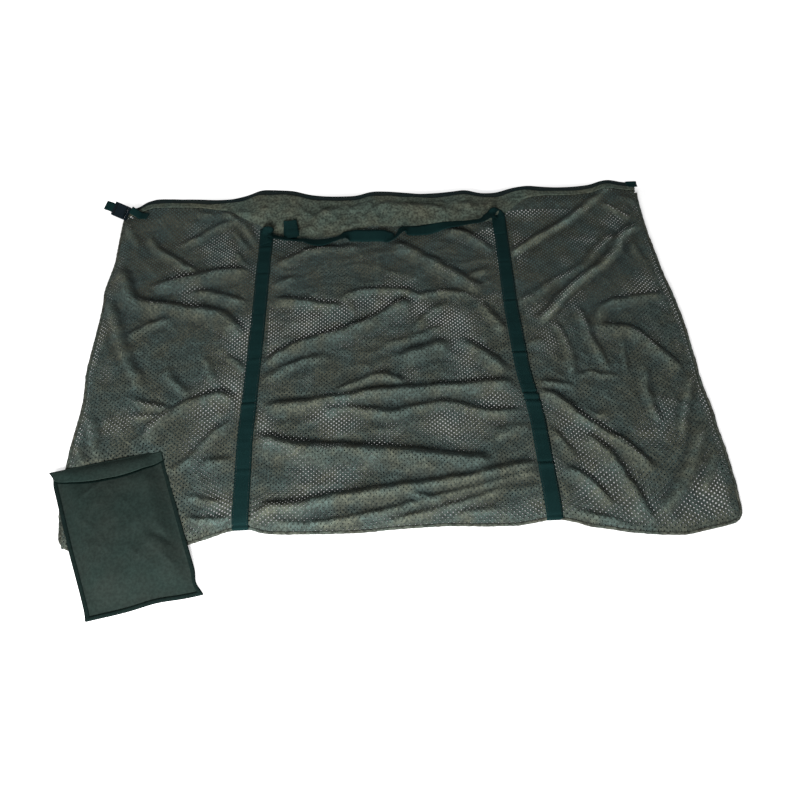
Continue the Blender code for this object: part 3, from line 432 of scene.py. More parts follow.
def wrinkles():
    """Fine creases: nearly level ones between the straps, slanting ones outside them."""
    to_right = smoothstep((GX - 0.30) / 0.10)
    to_left = smoothstep((-0.30 - GX) / 0.10)
    total = 0.0
    for size, tall, long, seed in WRINKLES:
        for share, turn, more in (
            (1 - to_right - to_left, 0.10, 0), (0.6 * to_right, -0.85, 1), (0.5 * to_right, 0.65, 2),
            (0.6 * to_left, -0.95, 3), (0.5 * to_left, 0.15, 4),
        ):
            total = total + tall * share * crease(GX, GY, turn, size, long, seed + more)
    return total


def strayed(place, seed):
    """Plan places moved a little, so that a fold's line isn't smooth."""
    return place + 0.0040 * noise(GX, GY, 0.09, seed) + 0.0020 * noise(GX, GY, 0.030, seed + 1)


def tucked(height, clear):
    """Heights that run into the rolled seam along the outline."""
    tuck = smoothstep((clear - 0.003) / 0.007)
    return height * tuck + SEAM_HEIGHT * (1 - tuck)


def ridges_and_grooves():
    wx, wy = strayed(GX, 1), strayed(GY, 3)
    folds = np.zeros_like(GX)
    grooves = np.zeros_like(GX)
    for points, tall, right_width, left_width in FOLDS:
        ridge, groove = fold(wx, wy, points, FOLD_GROWTH * tall / 1000, right_width / 1000, left_width / 1000)
        folds = np.maximum(folds, ridge) + 0.35 * np.minimum(folds, ridge)
        grooves = np.maximum(grooves, groove)
    return folds - grooves


def pressed_by_straps(height):
    """Heights made level across each front strap."""
    for side in (-1, 1):
        centre = strap_line(side, PLAN_Y)
        level = sample(blurred(height, 0.010), centre, PLAN_Y)
        away = np.abs(GX - centre[:, None])
        under = smoothstep((0.028 - away) / 0.010) * smoothstep((0.44 - GY) / 0.02)
        height = height * (1 - under) + level[:, None] * under
    return height


def front_heights():
    swell = 0.0016 * (1 + noise(GX, GY, 0.24, 5)) + 0.0011 * (1 + noise(GX, GY, 0.10, 6))
    clear = edge_gap()
    border = 0.15 + 0.85 * smoothstep((clear - 0.004) / 0.026)
    under_tape = smoothstep((0.474 - GY) / 0.03)
    height = (ridges_and_grooves() + swell + wrinkles()) * border * (0.12 + 0.88 * under_tape)
    height = HIGHEST * np.tanh(height / HIGHEST)
    covered = smoothstep((0.010 - beyond_pouch(GX, GY)) / 0.025)
    height = blurred(pressed_by_straps(height * (1 - covered)), 0.0026)
    height = np.maximum(height, LOWEST)
    return tucked(FRONT_TOP - 0.0002 + height + HUMP_UP * hump(GX) * top_share(GY), clear)


def back_heights(front):
    top = top_share(GY)
    clear = edge_gap()
    follows = 0.88 * blurred(front - FRONT_TOP - HUMP_UP * hump(GX) * top, 0.005)
    rise = follows + 0.0008 * noise(GX, GY, 0.12, 61) + BACK_RISE
    rise = np.clip(rise, 0, None) * smoothstep(clear / 0.03) * (1 - top)
    height = BACK_LIFT + 0.0004 + rise
    return tucked(np.minimum(height + HUMP_UP * hump(GX) * top, front - SHEETS_APART), clear)


FRONT = front_heights()
BACK = back_heights(FRONT)
# Painted light and shade on the cloth: lighter where the front cloth stands above its blurred self, on
# crests, and darker in hollows
PAINTED_LIGHT_MAP = np.clip(0.45 + (FRONT - blurred(FRONT, 0.014)) / 0.008, 0, 1)
# The two listed folds get a stronger painted highlight along their crests
for pale in PAINTED_HIGHLIGHT_FOLDS:
    PAINTED_LIGHT_MAP += 1.25 * fold(GX, GY, FOLDS[pale][0], 1.0, 0.012, 0.005)[0]
# Painted light: up to 12 per cent lighter towards the bottom edge between the straps
PAINTED_LIGHT_MAP *= 1 + 0.12 * smoothstep((-0.375 - GY) / 0.03) * smoothstep((0.46 - np.abs(GX)) / 0.06)
DRAWN = smoothstep((blurred(np.hypot(*np.gradient(FRONT, STEP)), 0.004) - 0.20) / 0.28)


# Mesh makers
def placed(x, y, z):
    return np.stack(np.broadcast_arrays(x, y, z), -1)


def mesh_object(name, points, faces, uv=None, smooth=True):
    data = bpy.data.meshes.new(name)
    data.from_pydata([tuple(p) for p in np.asarray(points, float).reshape(-1, 3).tolist()], [], faces)
    if uv is not None:
        layer = data.uv_layers.new(name="flat")
        loops = np.zeros(len(data.loops), np.int32)
        data.loops.foreach_get("vertex_index", loops)
        layer.data.foreach_set("uv", np.asarray(uv, np.float32).reshape(-1, 2)[loops].ravel())
    data.polygons.foreach_set("use_smooth", [smooth] * len(data.polygons))
    data.update()
    obj = bpy.data.objects.new(name, data)
    bpy.context.scene.collection.objects.link(obj)
    return obj


def grid_faces(rows, columns, closed=False):
    """Quads of a grid of rows x columns points; closed joins the last column to the first."""
    wide = columns if closed else columns - 1
    i, j = np.meshgrid(np.arange(rows - 1), np.arange(wide), indexing="ij")
    after = (j + 1) % columns
    this, following = i * columns, (i + 1) * columns
    return np.stack([this + j, this + after, following + after, following + j], -1).reshape(-1, 4).tolist()


def surface(name, points, uv, thickness):
    """A sheet through a grid of points, thickened to both sides."""
    obj = mesh_object(name, points, grid_faces(*points.shape[:2]), uv)
    solid = obj.modifiers.new("thickness", "SOLIDIFY")
    solid.thickness = thickness
    solid.offset = 0.0
    solid.use_even_offset = False
    return obj


def unit(v):
    v = np.asarray(v, float)
    return v / np.maximum(np.linalg.norm(v, axis=-1, keepdims=True), 1e-12)


def section_loft(name, centre, first, second, sections, uv_across=None):
    """A closed solid along a line. Each section is a closed loop of (first, second) offsets."""
    count, ring = sections.shape[:2]
    points = centre[:, None] + sections[..., :1] * first[:, None] + sections[..., 1:] * second[:, None]
    faces = grid_faces(count, ring, True)
    faces.append(list(range(ring))[::-1])
    faces.append(list(range((count - 1) * ring, count * ring)))
    along = np.repeat(reached(centre)[:, None], ring, 1)
    across = sections[..., 0] if uv_across is None else uv_across
    return mesh_object(name, points.reshape(-1, 3), faces, np.stack([across, along], -1))


def ribbon(name, centre, across, width):
    """Flat webbing along a line, with the direction of its width given once or at each point."""
    across = unit(np.broadcast_to(across, np.shape(centre)))
    along = unit(np.gradient(centre, axis=0))
    across = unit(across - along * (along * across).sum(1, keepdims=True))
    normal = np.cross(across, along)
    w = np.linspace(-0.5, 0.5, 7)
    rise = WEBBING / 2 * np.sqrt(np.clip(1 - (np.abs(w) * 2) ** 8, 0.08, 1))
    loop = np.concatenate([np.stack([w * width, rise], -1), np.stack([w * width, -rise], -1)[::-1]])
    return section_loft(name, centre, across, normal, np.repeat(loop[None], len(centre), 0))


def rolled_edge(name, centre, seed):
    """A roll of cloth along a line, a little uneven in thickness."""
    along = unit(np.gradient(centre, axis=0))
    side = unit(np.cross(along, (0.0, 0.0, 1.0)))
    up = np.cross(side, along)
    angle = np.linspace(0, 2 * math.pi, ROLL_SIDES, endpoint=False)
    run, turn = np.meshgrid(reached(centre), angle, indexing="ij")
    uneven = noise(run, np.cos(turn) * 0.01 + 0.013 * np.sin(turn), 0.011, seed)
    radius = ROLL_RADIUS + ROLL_UNEVEN * uneven
    sections = np.stack([np.cos(turn) * radius, np.sin(turn) * radius], -1)
    return section_loft(name, centre, side, up, sections, turn * ROLL_RADIUS)


def stitches(name, lines, length=0.0030, gap=0.0014, radius=0.00028):
    """Rows of short raised threads along lines that lie nearly level."""
    points, faces, uv = [], [], []
    ring = [(1, 0), (0, 1), (-1, 0), (0, -1)]
    up = np.array([0.0, 0.0, 1.0])
    cells = grid_faces(4, 4, True) + [[3, 2, 1, 0], [12, 13, 14, 15]]
    for line in lines:
        s = reached(line)
        starts = np.arange(gap, s[-1] - length, length + gap)
        for start in starts:
            base = len(points)
            spots = [start, start + 0.2 * length, start + 0.8 * length, start + length]
            at = [np.array([np.interp(q, s, line[:, k]) for k in range(3)]) for q in spots]
            side = unit(np.cross(at[-1] - at[0], up))
            for p, lift, size in zip(at, (-0.3, 0.6, 0.6, -0.3), (0.5, 1.0, 1.0, 0.5)):
                for a, b in ring:
                    points.append(p + up * (lift + b * size) * radius + side * a * size * radius)
                    uv.append((a * radius, 0.0))
            faces += [[base + corner for corner in cell] for cell in cells]
    return mesh_object(name, np.array(points), faces, np.array(uv))


# Materials
class Look:
    """A material whose colour, roughness and bump come from procedural nodes in metres of the flat cloth."""

    def __init__(self, name, roughness, metallic=0.0, sheen=0.0, sheen_roughness=0.5, specular=0.5):
        self.material = bpy.data.materials.new(name)
        self.material.use_nodes = True
        self.tree = self.material.node_tree
        self.shader = self.tree.nodes["Principled BSDF"]
        self.give(self.shader, "Roughness", roughness)
        self.give(self.shader, "Metallic", metallic)
        self.give(self.shader, "Sheen Weight", sheen)
        self.give(self.shader, "Sheen Roughness", sheen_roughness)
        self.give(self.shader, "Specular IOR Level", specular)

    def give(self, node, socket, value):
        """Gives a socket a number, a colour or what another node puts out."""
        end = node.inputs[socket]
        if isinstance(value, bpy.types.NodeSocket):
            self.tree.links.new(value, end)
        else:
            end.default_value = (*value, 1.0) if isinstance(value, tuple) else value

    def node(self, kind, *sockets):
        made = self.tree.nodes.new(kind)
        for socket, value in sockets:
            self.give(made, socket, value)
        return made

    def place(self, scale, output):
        """Coordinates in units of scale metres, on the flat cloth (UV) or in space (Object)."""
        mapping = self.node("ShaderNodeMapping", ("Vector", self.node("ShaderNodeTexCoord").outputs[output]))
        sizes = scale if isinstance(scale, tuple) else (scale,) * 3
        mapping.inputs["Scale"].default_value = tuple(1.0 / size for size in sizes)
        return ("Vector", mapping.outputs["Vector"])

    def noise(self, scale, detail):
        place = self.place(scale, "Object")
        made = self.node("ShaderNodeTexNoise", place, ("Scale", 1.0), ("Detail", detail), ("Roughness", 0.55))
        return made.outputs["Fac"]

    def wave(self, pitch, axis):
        place = self.place(pitch * 20 / (2 * math.pi), "UV")
        made = self.node("ShaderNodeTexWave", place, ("Scale", 1.0), ("Distortion", 0.0))
        made.bands_direction = axis
        return made.outputs["Fac"]

    def ramp(self, value, low, high, start=0, end=1):
        """A value brought from low..high to start..end."""
        made = self.node("ShaderNodeMapRange", ("Value", value), ("From Min", low), ("From Max", high))
        self.give(made, "To Min", start)
        self.give(made, "To Max", end)
        return made.outputs["Result"]

    def mix(self, factor, first, second, blend="MIX"):
        made = self.node("ShaderNodeMix")
        made.data_type = "RGBA"
        made.blend_type = blend
        for socket, value in ((0, factor), (6, first), (7, second)):
            self.give(made, socket, value)
        return made.outputs[2]

    def product(self, first, second):
        return self.mix(1.0, first, second, "MULTIPLY")

    def maths(self, operation, first, second=0.5):
        made = self.node("ShaderNodeMath", (0, first), (1, second))
        made.operation = operation
        return made.outputs[0]

    def bump(self, height, distance, strength):
        made = self.node("ShaderNodeBump", ("Height", height), ("Distance", distance), ("Strength", strength))
        return made.outputs["Normal"]

    def finished(self, colour, rough, normal):
        self.give(self.shader, "Base Color", colour)
        self.give(self.shader, "Roughness", rough)
        self.give(self.shader, "Normal", normal)
        return self.material


def net_look(name, warm, cool, dark):
    """Knitted cloth with painted light: paler along its crests, a painted highlight, and darker in its
    hollows, a painted shade.
    """
    look = Look(name, 0.9, sheen=0.03, sheen_roughness=0.4, specular=0.1)
    painted_light = look.node("ShaderNodeAttribute")
    painted_light.attribute_name = "painted_light"
    broad = look.noise(0.055, 4.0)
    small = look.noise((0.018, 0.015, 0.015), 3.0)
    grain = look.noise((0.0048, 0.0064, 0.0048), 1.5)
    tint = look.mix(look.ramp(broad, 0.40, 0.60), warm, cool)
    patches = look.mix(look.ramp(small, 0.34, 0.66), (0.74, 0.74, 0.74), (1.26, 1.26, 1.24))
    specks = look.mix(look.ramp(grain, 0.39, 0.61), (0.34, 0.34, 0.35), (1.66, 1.66, 1.63))
    shade = look.product(patches, specks)
    knit = look.maths("MULTIPLY", look.wave(0.0015, "X"), look.wave(0.0011, "Y"))
    cloth = look.mix(look.ramp(knit, 0.0, 0.7), dark, look.product(tint, shade))
    # The painted light and shade: colour scaled from 0.60 in hollows to 2.20 on the most highlighted crests
    painted_light_gain = look.mix(look.ramp(painted_light.outputs["Fac"], 0.0, 2.0), (0.60, 0.60, 0.60), (2.20, 2.16, 2.02))
    rough = look.ramp(small, 0.3, 0.7, 0.82, 0.96)
    return look.finished(look.product(cloth, painted_light_gain), rough, look.bump(knit, 0.00035, 0.7))


def plain_cloth_look(
    name, warm, cool, pitch=0.0009, roughness=0.85, sheen=0.02, depth=0.0002, specular=0.1, mottle=0.16
):
    """Woven cloth: pitch is from thread to thread and depth how high its threads stand."""
    look = Look(name, roughness, sheen=sheen, specular=specular)
    broad = look.noise(0.07, 4.0)
    small = look.noise(0.006, 2.0)
    weave = look.maths("MULTIPLY", look.wave(pitch, "X"), look.wave(pitch, "Y"))
    tint = look.mix(look.ramp(broad, 0.35, 0.65), warm, cool)
    shade = look.mix(look.ramp(small, 0.38, 0.62), (1 - mottle,) * 3, (1 + mottle,) * 3)
    rough = look.ramp(small, 0.3, 0.7, roughness - 0.08, min(roughness + 0.08, 1.0))
    return look.finished(look.product(tint, shade), rough, look.bump(weave, depth, 0.6))


def nylon_look(name, warm, cool, roughness=0.80, specular=0.04):
    return plain_cloth_look(name, warm, cool, 0.0008, roughness, 0.0, 0.00012, specular)


def webbing_look():
    look = Look("webbing_look", 0.78, specular=0.02)
    ribs = look.wave(0.0012, "Y")
    warp = look.wave(0.0017, "X")
    broad = look.noise(0.05, 4.0)
    weave = look.maths("ADD", look.maths("MULTIPLY", ribs, warp), look.maths("MULTIPLY", warp, 0.4))
    tint = look.mix(look.ramp(broad, 0.3, 0.7), (0.007, 0.027, 0.027), (0.011, 0.038, 0.037))
    threads = look.mix(look.ramp(weave, 0.0, 1.2), (0.003, 0.011, 0.011), tint)
    rough = look.ramp(broad, 0.3, 0.7, 0.68, 0.84)
    return look.finished(threads, rough, look.bump(weave, 0.0004, 0.7))


def hard_look(name, colour, roughness, metallic=0.0, specular=0.5):
    look = Look(name, roughness, metallic, specular=specular)
    marks = look.noise(0.004, 5.0)
    fine = look.noise(0.0004, 2.0)
    dark = tuple(0.75 * c for c in colour)
    light = tuple(1.35 * c for c in colour)
    tint = look.mix(look.ramp(marks, 0.3, 0.7), dark, light)
    rough = look.ramp(marks, 0.3, 0.7, roughness - 0.08, roughness + 0.12)
    return look.finished(tint, rough, look.bump(fine, 0.00006, 0.5))


LOOKS = {
    "net_cloth": net_look(
        "net_cloth_look", (0.084, 0.0865, 0.065), (0.056, 0.088, 0.088), (0.034, 0.043, 0.038)
    ),
    # The back net is the front net's cloth painted much paler and bluer: painted light, standing in for light
    # reaching it through the front net's holes
    "painted_light_rear_net": net_look(
        "painted_light_rear_net_look", (0.210, 0.315, 0.325), (0.185, 0.312, 0.345), (0.125, 0.200, 0.215)
    ),
    "hem_cloth": plain_cloth_look(
        "hem_cloth_look", (0.064, 0.069, 0.050), (0.050, 0.069, 0.056), mottle=0.44
    ),
    "seam_cloth": plain_cloth_look(
        "seam_cloth_look", (0.052, 0.054, 0.042), (0.040, 0.052, 0.044), 0.0018, mottle=0.50
    ),
    "webbing": webbing_look(),
    "zip_tape": plain_cloth_look(
        "zip_tape_look", (0.015, 0.021, 0.020), (0.009, 0.017, 0.018), 0.0010, 0.8, 0.0, 0.0002, 0.03
    ),
    "zip_teeth": hard_look("zip_teeth_look", (0.008, 0.011, 0.012), 0.35),
    "black_metal": hard_look("black_metal_look", (0.030, 0.032, 0.034), 0.32, 1.0),
    "clip_plastic": hard_look("clip_plastic_look", (0.005, 0.009, 0.012), 0.6, specular=0.04),
    "pouch_nylon": nylon_look("pouch_nylon_look", (0.0172, 0.0244, 0.0210), (0.0152, 0.0252, 0.0218)),
    # The flap's nylon is the pouch's nylon painted a little paler: painted light on the flap
    "flap_painted_light_fabric": nylon_look("flap_painted_light_fabric_look", (0.0190, 0.0290, 0.0250), (0.0165, 0.0300, 0.0260)),
    # A near-black nylon for the strip under the flap's edge: a painted shadow
    "flap_painted_shadow": nylon_look("flap_painted_shadow_look", (0.003, 0.007, 0.006), (0.003, 0.007, 0.006), 0.9, 0.0),
    # The binding tape's colour is partly its own darker dye and partly painted shade along the pouch's edges
    "pouch_binding_cloth": plain_cloth_look(
        "pouch_binding_painted_shade_look", (0.0065, 0.0125, 0.0110), (0.0060, 0.0125, 0.0115),
        0.0010, 0.8, 0.0, 0.0002, 0.03,
    ),
    "hook_and_loop": plain_cloth_look(
        "hook_and_loop_look", (0.012, 0.014, 0.014), (0.010, 0.013, 0.013), 0.0016, 0.95, 0.02, 0.0008, 0.03
    ),
    "thread": plain_cloth_look("thread_look", (0.014, 0.018, 0.017), (0.010, 0.015, 0.014), 0.0006, 0.7, 0.1),
}


# Where the raised handle and the opened flap bend, between which bodies
HANDLE_BEND = ("sack", "front_grip", (0.0, 0.4240, 0.0113), (0.0, 0.3720, 0.0113))
FLAP_BEND = ("pouch", "flap", (-0.6633, -0.3036, 0.0120), (-0.6571, -0.3329, 0.0120))


def dress(obj, look, body, slot, *nodes):
    obj.data.materials.append(LOOKS[look])
    if isinstance(body, tuple):
        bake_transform(obj)
    else:
        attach(obj, body)
    if nodes:
        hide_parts(*nodes)
    return obj


# Perforated cloth
HOLE_PITCH = 0.0122
ROW_PITCH = 0.0053
HOLE_RADIUS = 0.00212
HOLE_CLOSING = 0.44
HOLE_UNEVEN = 0.06
BACK_OPENING = 0.90
NET_HALF = HALF_WIDTH - 0.0015
NET_LOW = -0.4985
HOLE_ANGLES = (0.0, 65.5, 114.5, 180.0, 245.5, 294.5)


def net_faces(rows, columns):
    """The threads between the holes: quads from hole to hole, and triangles where three of them meet."""
    j, i = np.meshgrid(np.arange(rows), np.arange(columns), indexing="ij")
    odd = j % 2
    right_above = (j + 1, i + odd)
    left_above = (j + 1, i - 1 + odd)
    above = (j + 2, i)

    def there(place):
        return (place[0] < rows) & (place[1] >= 0) & (place[1] < columns)

    def at(row, column, corner):
        return (row * columns + column) * len(HOLE_ANGLES) + corner

    has_right, has_left, has_above = there(right_above), there(left_above), there(above)
    faces = []
    for keep, corners in (
        (has_right, ((j, i, 0), (*right_above, 4), (*right_above, 3), (j, i, 1))),
        (has_above, ((j, i, 1), (*above, 5), (*above, 4), (j, i, 2))),
        (has_left, ((j, i, 2), (*left_above, 0), (*left_above, 5), (j, i, 3))),
        (has_right & has_above, ((j, i, 1), (*right_above, 3), (*above, 5))),
        (has_left & has_above, ((j, i, 2), (*above, 4), (*left_above, 0))),
    ):
        faces += np.stack([at(*corner)[keep] for corner in corners], -1).tolist()
    return faces


def net(name, low, high, heights, drift, opening):
    """Cloth with real holes: a hexagon at each place of a staggered grid, and threads between them."""
    rows = int((high - low - 2 * HOLE_RADIUS) / ROW_PITCH) + 1
    columns = int((2 * NET_HALF - HOLE_PITCH / 2 - 2 * HOLE_RADIUS) / HOLE_PITCH) + 1
    j, i = np.meshgrid(np.arange(rows), np.arange(columns), indexing="ij")
    hole_u = HOLE_PITCH * (i + 0.5 * (j % 2)) - (columns - 0.5) * HOLE_PITCH / 2
    hole_v = low + HOLE_RADIUS + ROW_PITCH * j
    angles = np.radians(HOLE_ANGLES)
    uneven = 1 + HOLE_UNEVEN * noise(hole_u, hole_v, 0.02, drift + 7)
    radius = (HOLE_RADIUS * uneven * sample(opening, *laid(hole_u, hole_v, drift)))[..., None]
    u = hole_u[..., None] + radius * np.cos(angles)
    v = hole_v[..., None] + radius * np.sin(angles)
    x, y = laid(u, v, drift)
    points = placed(x, y, sample(heights, x, y))
    obj = mesh_object(name, points, net_faces(rows, columns), np.stack([u, v], -1))
    # Each point carries the painted light and shade taken from the front cloth's heights
    painted_light = obj.data.attributes.new("painted_light", "FLOAT", "POINT")
    painted_light.data.foreach_set("value", sample(PAINTED_LIGHT_MAP, x, y).ravel().astype(np.float32))
    return obj, (float(np.ptp(u)), float(np.ptp(v)))


def panels():
    back, back_size = net("net_back", NET_LOW, 0.478, BACK, 300, np.full_like(FRONT, BACK_OPENING))
    dress(back, "painted_light_rear_net", "sack", "net_cloth", "back_panel")
    front, front_size = net("net_front", NET_LOW, 0.476, FRONT, 400, 1 - HOLE_CLOSING * DRAWN)
    dress(front, "net_cloth", "sack", "net_cloth", "front_panel")


CORNER_RADIUS = 0.026


def seam(name, u, v, rise, seed):
    x, y = laid(u, v)
    roll = rolled_edge(f"{name}_roll", placed(x, y, SEAM_HEIGHT + rise), seed)
    dress(roll, "seam_cloth", "sack", "hem_cloth", name)


def seams():
    """Rolled edges along both sides and the bottom, with gathered corners."""
    reach = HALF_WIDTH - SEAM_RADIUS
    corner = -HALF_HEIGHT + SEAM_RADIUS + CORNER_RADIUS
    for name, side, top in (("left_side_seam", -1, 0.484), ("right_side_seam", 1, 0.464)):
        v = np.linspace(corner + 0.0006, top, 330)
        turn = smoothstep((v - 0.462) / 0.024)
        u = side * (reach - 0.010 * turn)
        rise = 0.0006 * noise(v, v * 0, 0.03, 91) + 0.0012 * turn + HUMP_UP * hump(u) * top_share(v)
        seam(name, u, v, rise, 92 + side)
    angle = np.radians(np.linspace(180, 270, 22))
    rounded = CORNER_RADIUS * np.stack([np.cos(angle), np.sin(angle)], -1)
    left = np.array([CORNER_RADIUS - reach, corner]) + rounded
    right = left[::-1] * np.array([-1, 1])
    run = np.linspace(left[-1], right[0], 420)[1:-1]
    u, v = np.concatenate([left, run, right]).T
    seam("bottom_seam", u, v, 0.0006 * noise(u, u * 0, 0.03, 95), 96)


# Lower edge of the front hem's band, (x, y) in millimetres
BAND_LOW = (
    (-760, 470), (-520, 469), (-450, 460), (-400, 425), (-350, 398), (-300, 372), (-220, 358), (-150, 358),
    (-90, 378), (-40, 390), (60, 386), (140, 382), (220, 388), (300, 394), (350, 420), (400, 456),
    (460, 468), (760, 470),
)


BAND_HALF = HALF_WIDTH - 0.010
BAND_TOP = 0.4815
BACK_BAND_FLAT = (1.44, 0.044)
BACK_BAND_LOW = 0.4282


def band_low(u):
    return smooth_table(BAND_LOW, u, 0.03)


def on_front(x, y, lift):
    """Places on the front cloth, raised by lift."""
    return placed(x, y, sample(FRONT, x, y) + lift)


def front_hem():
    """A wide band of plain cloth below the zip, with a curved lower edge."""
    u, share = np.meshgrid(np.linspace(-BAND_HALF, BAND_HALF, 560), np.linspace(0, 1, 30), indexing="ij")
    low = band_low(u)
    top = BAND_TOP + 0.0040 * noise(u, u * 0, 0.06, 97)
    v = low + (top - low) * share
    loose = smoothstep(share * 5) * smoothstep((0.468 - v) / 0.010)
    lift = 0.0016 * smoothstep(share * 12) + 0.0022 * smoothstep((v - 0.458) / 0.012) - 0.0007
    lift = lift + loose * 0.0042 * crease(u, v, 0.60, 0.050, 2.6, 611)
    lift = lift + loose * 0.0034 * crease(u, v, -0.75, 0.042, 2.6, 613)
    band = surface("front_hem_band", on_front(*laid(u, v), lift), np.stack([u, v], -1), 0.0006)
    dress(band, "hem_cloth", "sack", "hem_cloth", "front_hem")


def back_hem():
    """A narrow band behind, along the back zip tape."""
    wide, deep = BACK_BAND_FLAT
    runs = (np.linspace(-wide / 2, wide / 2, 240), np.linspace(BACK_BAND_LOW, BACK_BAND_LOW + deep, 6))
    u, v = np.meshgrid(*runs, indexing="ij")
    x, y = laid(u, v)
    back = surface("back_hem_band", placed(x, y, sample(BACK, x, y) - 0.0013), np.stack([u, v], -1), 0.0009)
    dress(back, "hem_cloth", "sack", "hem_cloth", "back_hem")


def hem_stitching():
    u = np.linspace(-0.44, 0.40, 600)
    thread = stitches("front_hem_stitching", [on_front(*laid(u, band_low(u) + 0.003), 0.0013)])
    dress(thread, "thread", "sack", "hem_cloth")


TEETH_HALF = 0.0014
TAPE_HALF_GAP = 0.0033
TAPE_OVER_FRONT = 0.0015
TAPE_UNDER_BACK = 0.0012
TAPE_THICKNESS = 0.0007
# Outside this stretch the back tape is drawn in, so that the slider's puller clears it
BACK_TAPE_FREE = (-0.676, 0.682)
BACK_TAPE_END_Y = 0.5010


def zip_line(u):
    """Plan y and height of the middle of the zip along its length."""
    y = HALF_HEIGHT - TEETH_HALF + top_out(u)
    z = SEAM_HEIGHT + HUMP_UP * hump(u)
    return y, z


# How far across its tape each step of the zip's side lies, and how much it has turned down to the teeth
TAPE_STEPS = (
    (0.0, 0.0), (0.006, 0.0), (0.012, 0.0), (0.018, 0.0),
    (0.0225, 0.0), (0.0252, 0.12), (0.0266, 0.4), (0.0275, 1.0),
)
# Half length, half width and distance from the zip's middle of a tooth's three sections
TOOTH = ((0.0008, 0.0013, 0.0006), (0.0010, 0.0014, 0.0018), (0.0006, 0.0009, 0.0029))
TOOTH_PITCH = 0.0025
# How far across the tape its two rows of stitches lie
STITCH_ROWS = (0.0035, 0.0190)


def zip_tapes():
    u = np.linspace(ZIP_START - 0.004, ZIP_END + 0.004, 520)
    y_top, z_top = zip_line(u)
    across = [step[0] for step in TAPE_STEPS]
    for name, side in (("zip_tape_front", 1), ("zip_tape_back", -1)):
        y_edge = y_top + TEETH_HALF
        if side < 0:
            between = smoothstep((u - BACK_TAPE_FREE[0]) / 0.02) * smoothstep((BACK_TAPE_FREE[1] - u) / 0.02)
            y_edge = np.minimum(y_edge, BACK_TAPE_END_Y + 0.05 * between)
        edge = z_top + side * TAPE_HALF_GAP
        rows = []
        for out, down in TAPE_STEPS:
            y = y_edge - TAPE_DEPTH + out
            if side > 0:
                lie = sample(FRONT, u, y) + TAPE_OVER_FRONT
                z = np.maximum(lie * (1 - down) + edge * down, edge)
            else:
                lie = sample(BACK, u, y) - TAPE_UNDER_BACK
                z = np.minimum(lie * (1 - down) + edge * down, edge)
            rows.append(placed(u, y, z))
        flat = np.stack(np.meshgrid(u, across, indexing="ij"), -1)
        tape = surface(f"{name}_cloth", np.stack(rows, 1), flat, TAPE_THICKNESS)
        dress(tape, "zip_tape", "sack", "zip_tape", name)
        if side > 0:
            lines = [on_front(u, y_edge - TAPE_DEPTH + out, 0.0020) for out in STITCH_ROWS]
            dress(stitches("zip_tape_stitching", lines), "thread", "sack", "zip_tape")


def zip_teeth():
    for name, side in (("zip_teeth_front", 1), ("zip_teeth_back", -1)):
        at = np.arange(ZIP_START + 0.0012, ZIP_END - 0.0012, TOOTH_PITCH)
        at = at + (0 if side > 0 else TOOTH_PITCH / 2)
        at = at[at < ZIP_END - 0.001]
        y_at, z_at = zip_line(at)
        block = []
        for half_long, half_wide, out in TOOTH:
            for dx, dy in ((-1, -1), (1, -1), (1, 1), (-1, 1)):
                block.append(placed(at + dx * half_long, y_at + dy * half_wide, z_at + side * out))
        points = np.stack(block, 1).reshape(-1, 3)
        faces = []
        cells = [[3, 2, 1, 0], [8, 9, 10, 11]] + grid_faces(3, 4, True)
        for k in range(len(at)):
            for cell in cells:
                order = cell if side > 0 else cell[::-1]
                faces.append([12 * k + corner for corner in order])
        teeth = mesh_object(f"{name}_coil", points, faces, points[:, :2], smooth=False)
        dress(teeth, "zip_teeth", "sack", "zip_teeth", name)


BACK_STRAP_X = 0.338
STITCH_INSET = 0.0035
# How far below a front strap's top end the rows of stitches across it lie
STITCHES_ACROSS = (0.004, 0.016, 0.034)
# Where the straps are creased across, and how deeply
LEFT_CREASES = ((0.335, 0.6), (0.240, 0.5), (0.105, 0.3), (-0.030, 0.3), (-0.157, 1.0), (-0.330, 0.4))
RIGHT_CREASES = (
    (0.245, 0.4), (0.116, 0.6), (-0.046, 1.2), (-0.165, 1.1), (-0.186, 0.7), (-0.262, 0.4), (-0.348, 1.3),
)


def straps():
    for word, side, top, creases in (("left", -1, 0.392, LEFT_CREASES), ("right", 1, 0.420, RIGHT_CREASES)):
        front_strap(word, side, top, creases)
        y = np.linspace(seam_under(side) + 0.0125, 0.383, 120)
        straight = side * BACK_STRAP_X
        x = straight + (strap_line(side, y) - straight) * smoothstep((0.1 - y) / 0.4)
        low = ribbon(f"back_strap_{word}_webbing", placed(x, y, WEBBING / 2), (1.0, 0.0, 0.0), STRAP_WIDTH)
        dress(low, "webbing", "sack", "webbing", f"back_strap_{word}")


def seam_under(side):
    """Where along +Y the middle of the bottom seam lies under a strap."""
    return edge_low(strap_line(side, -0.48)) + SEAM_RADIUS


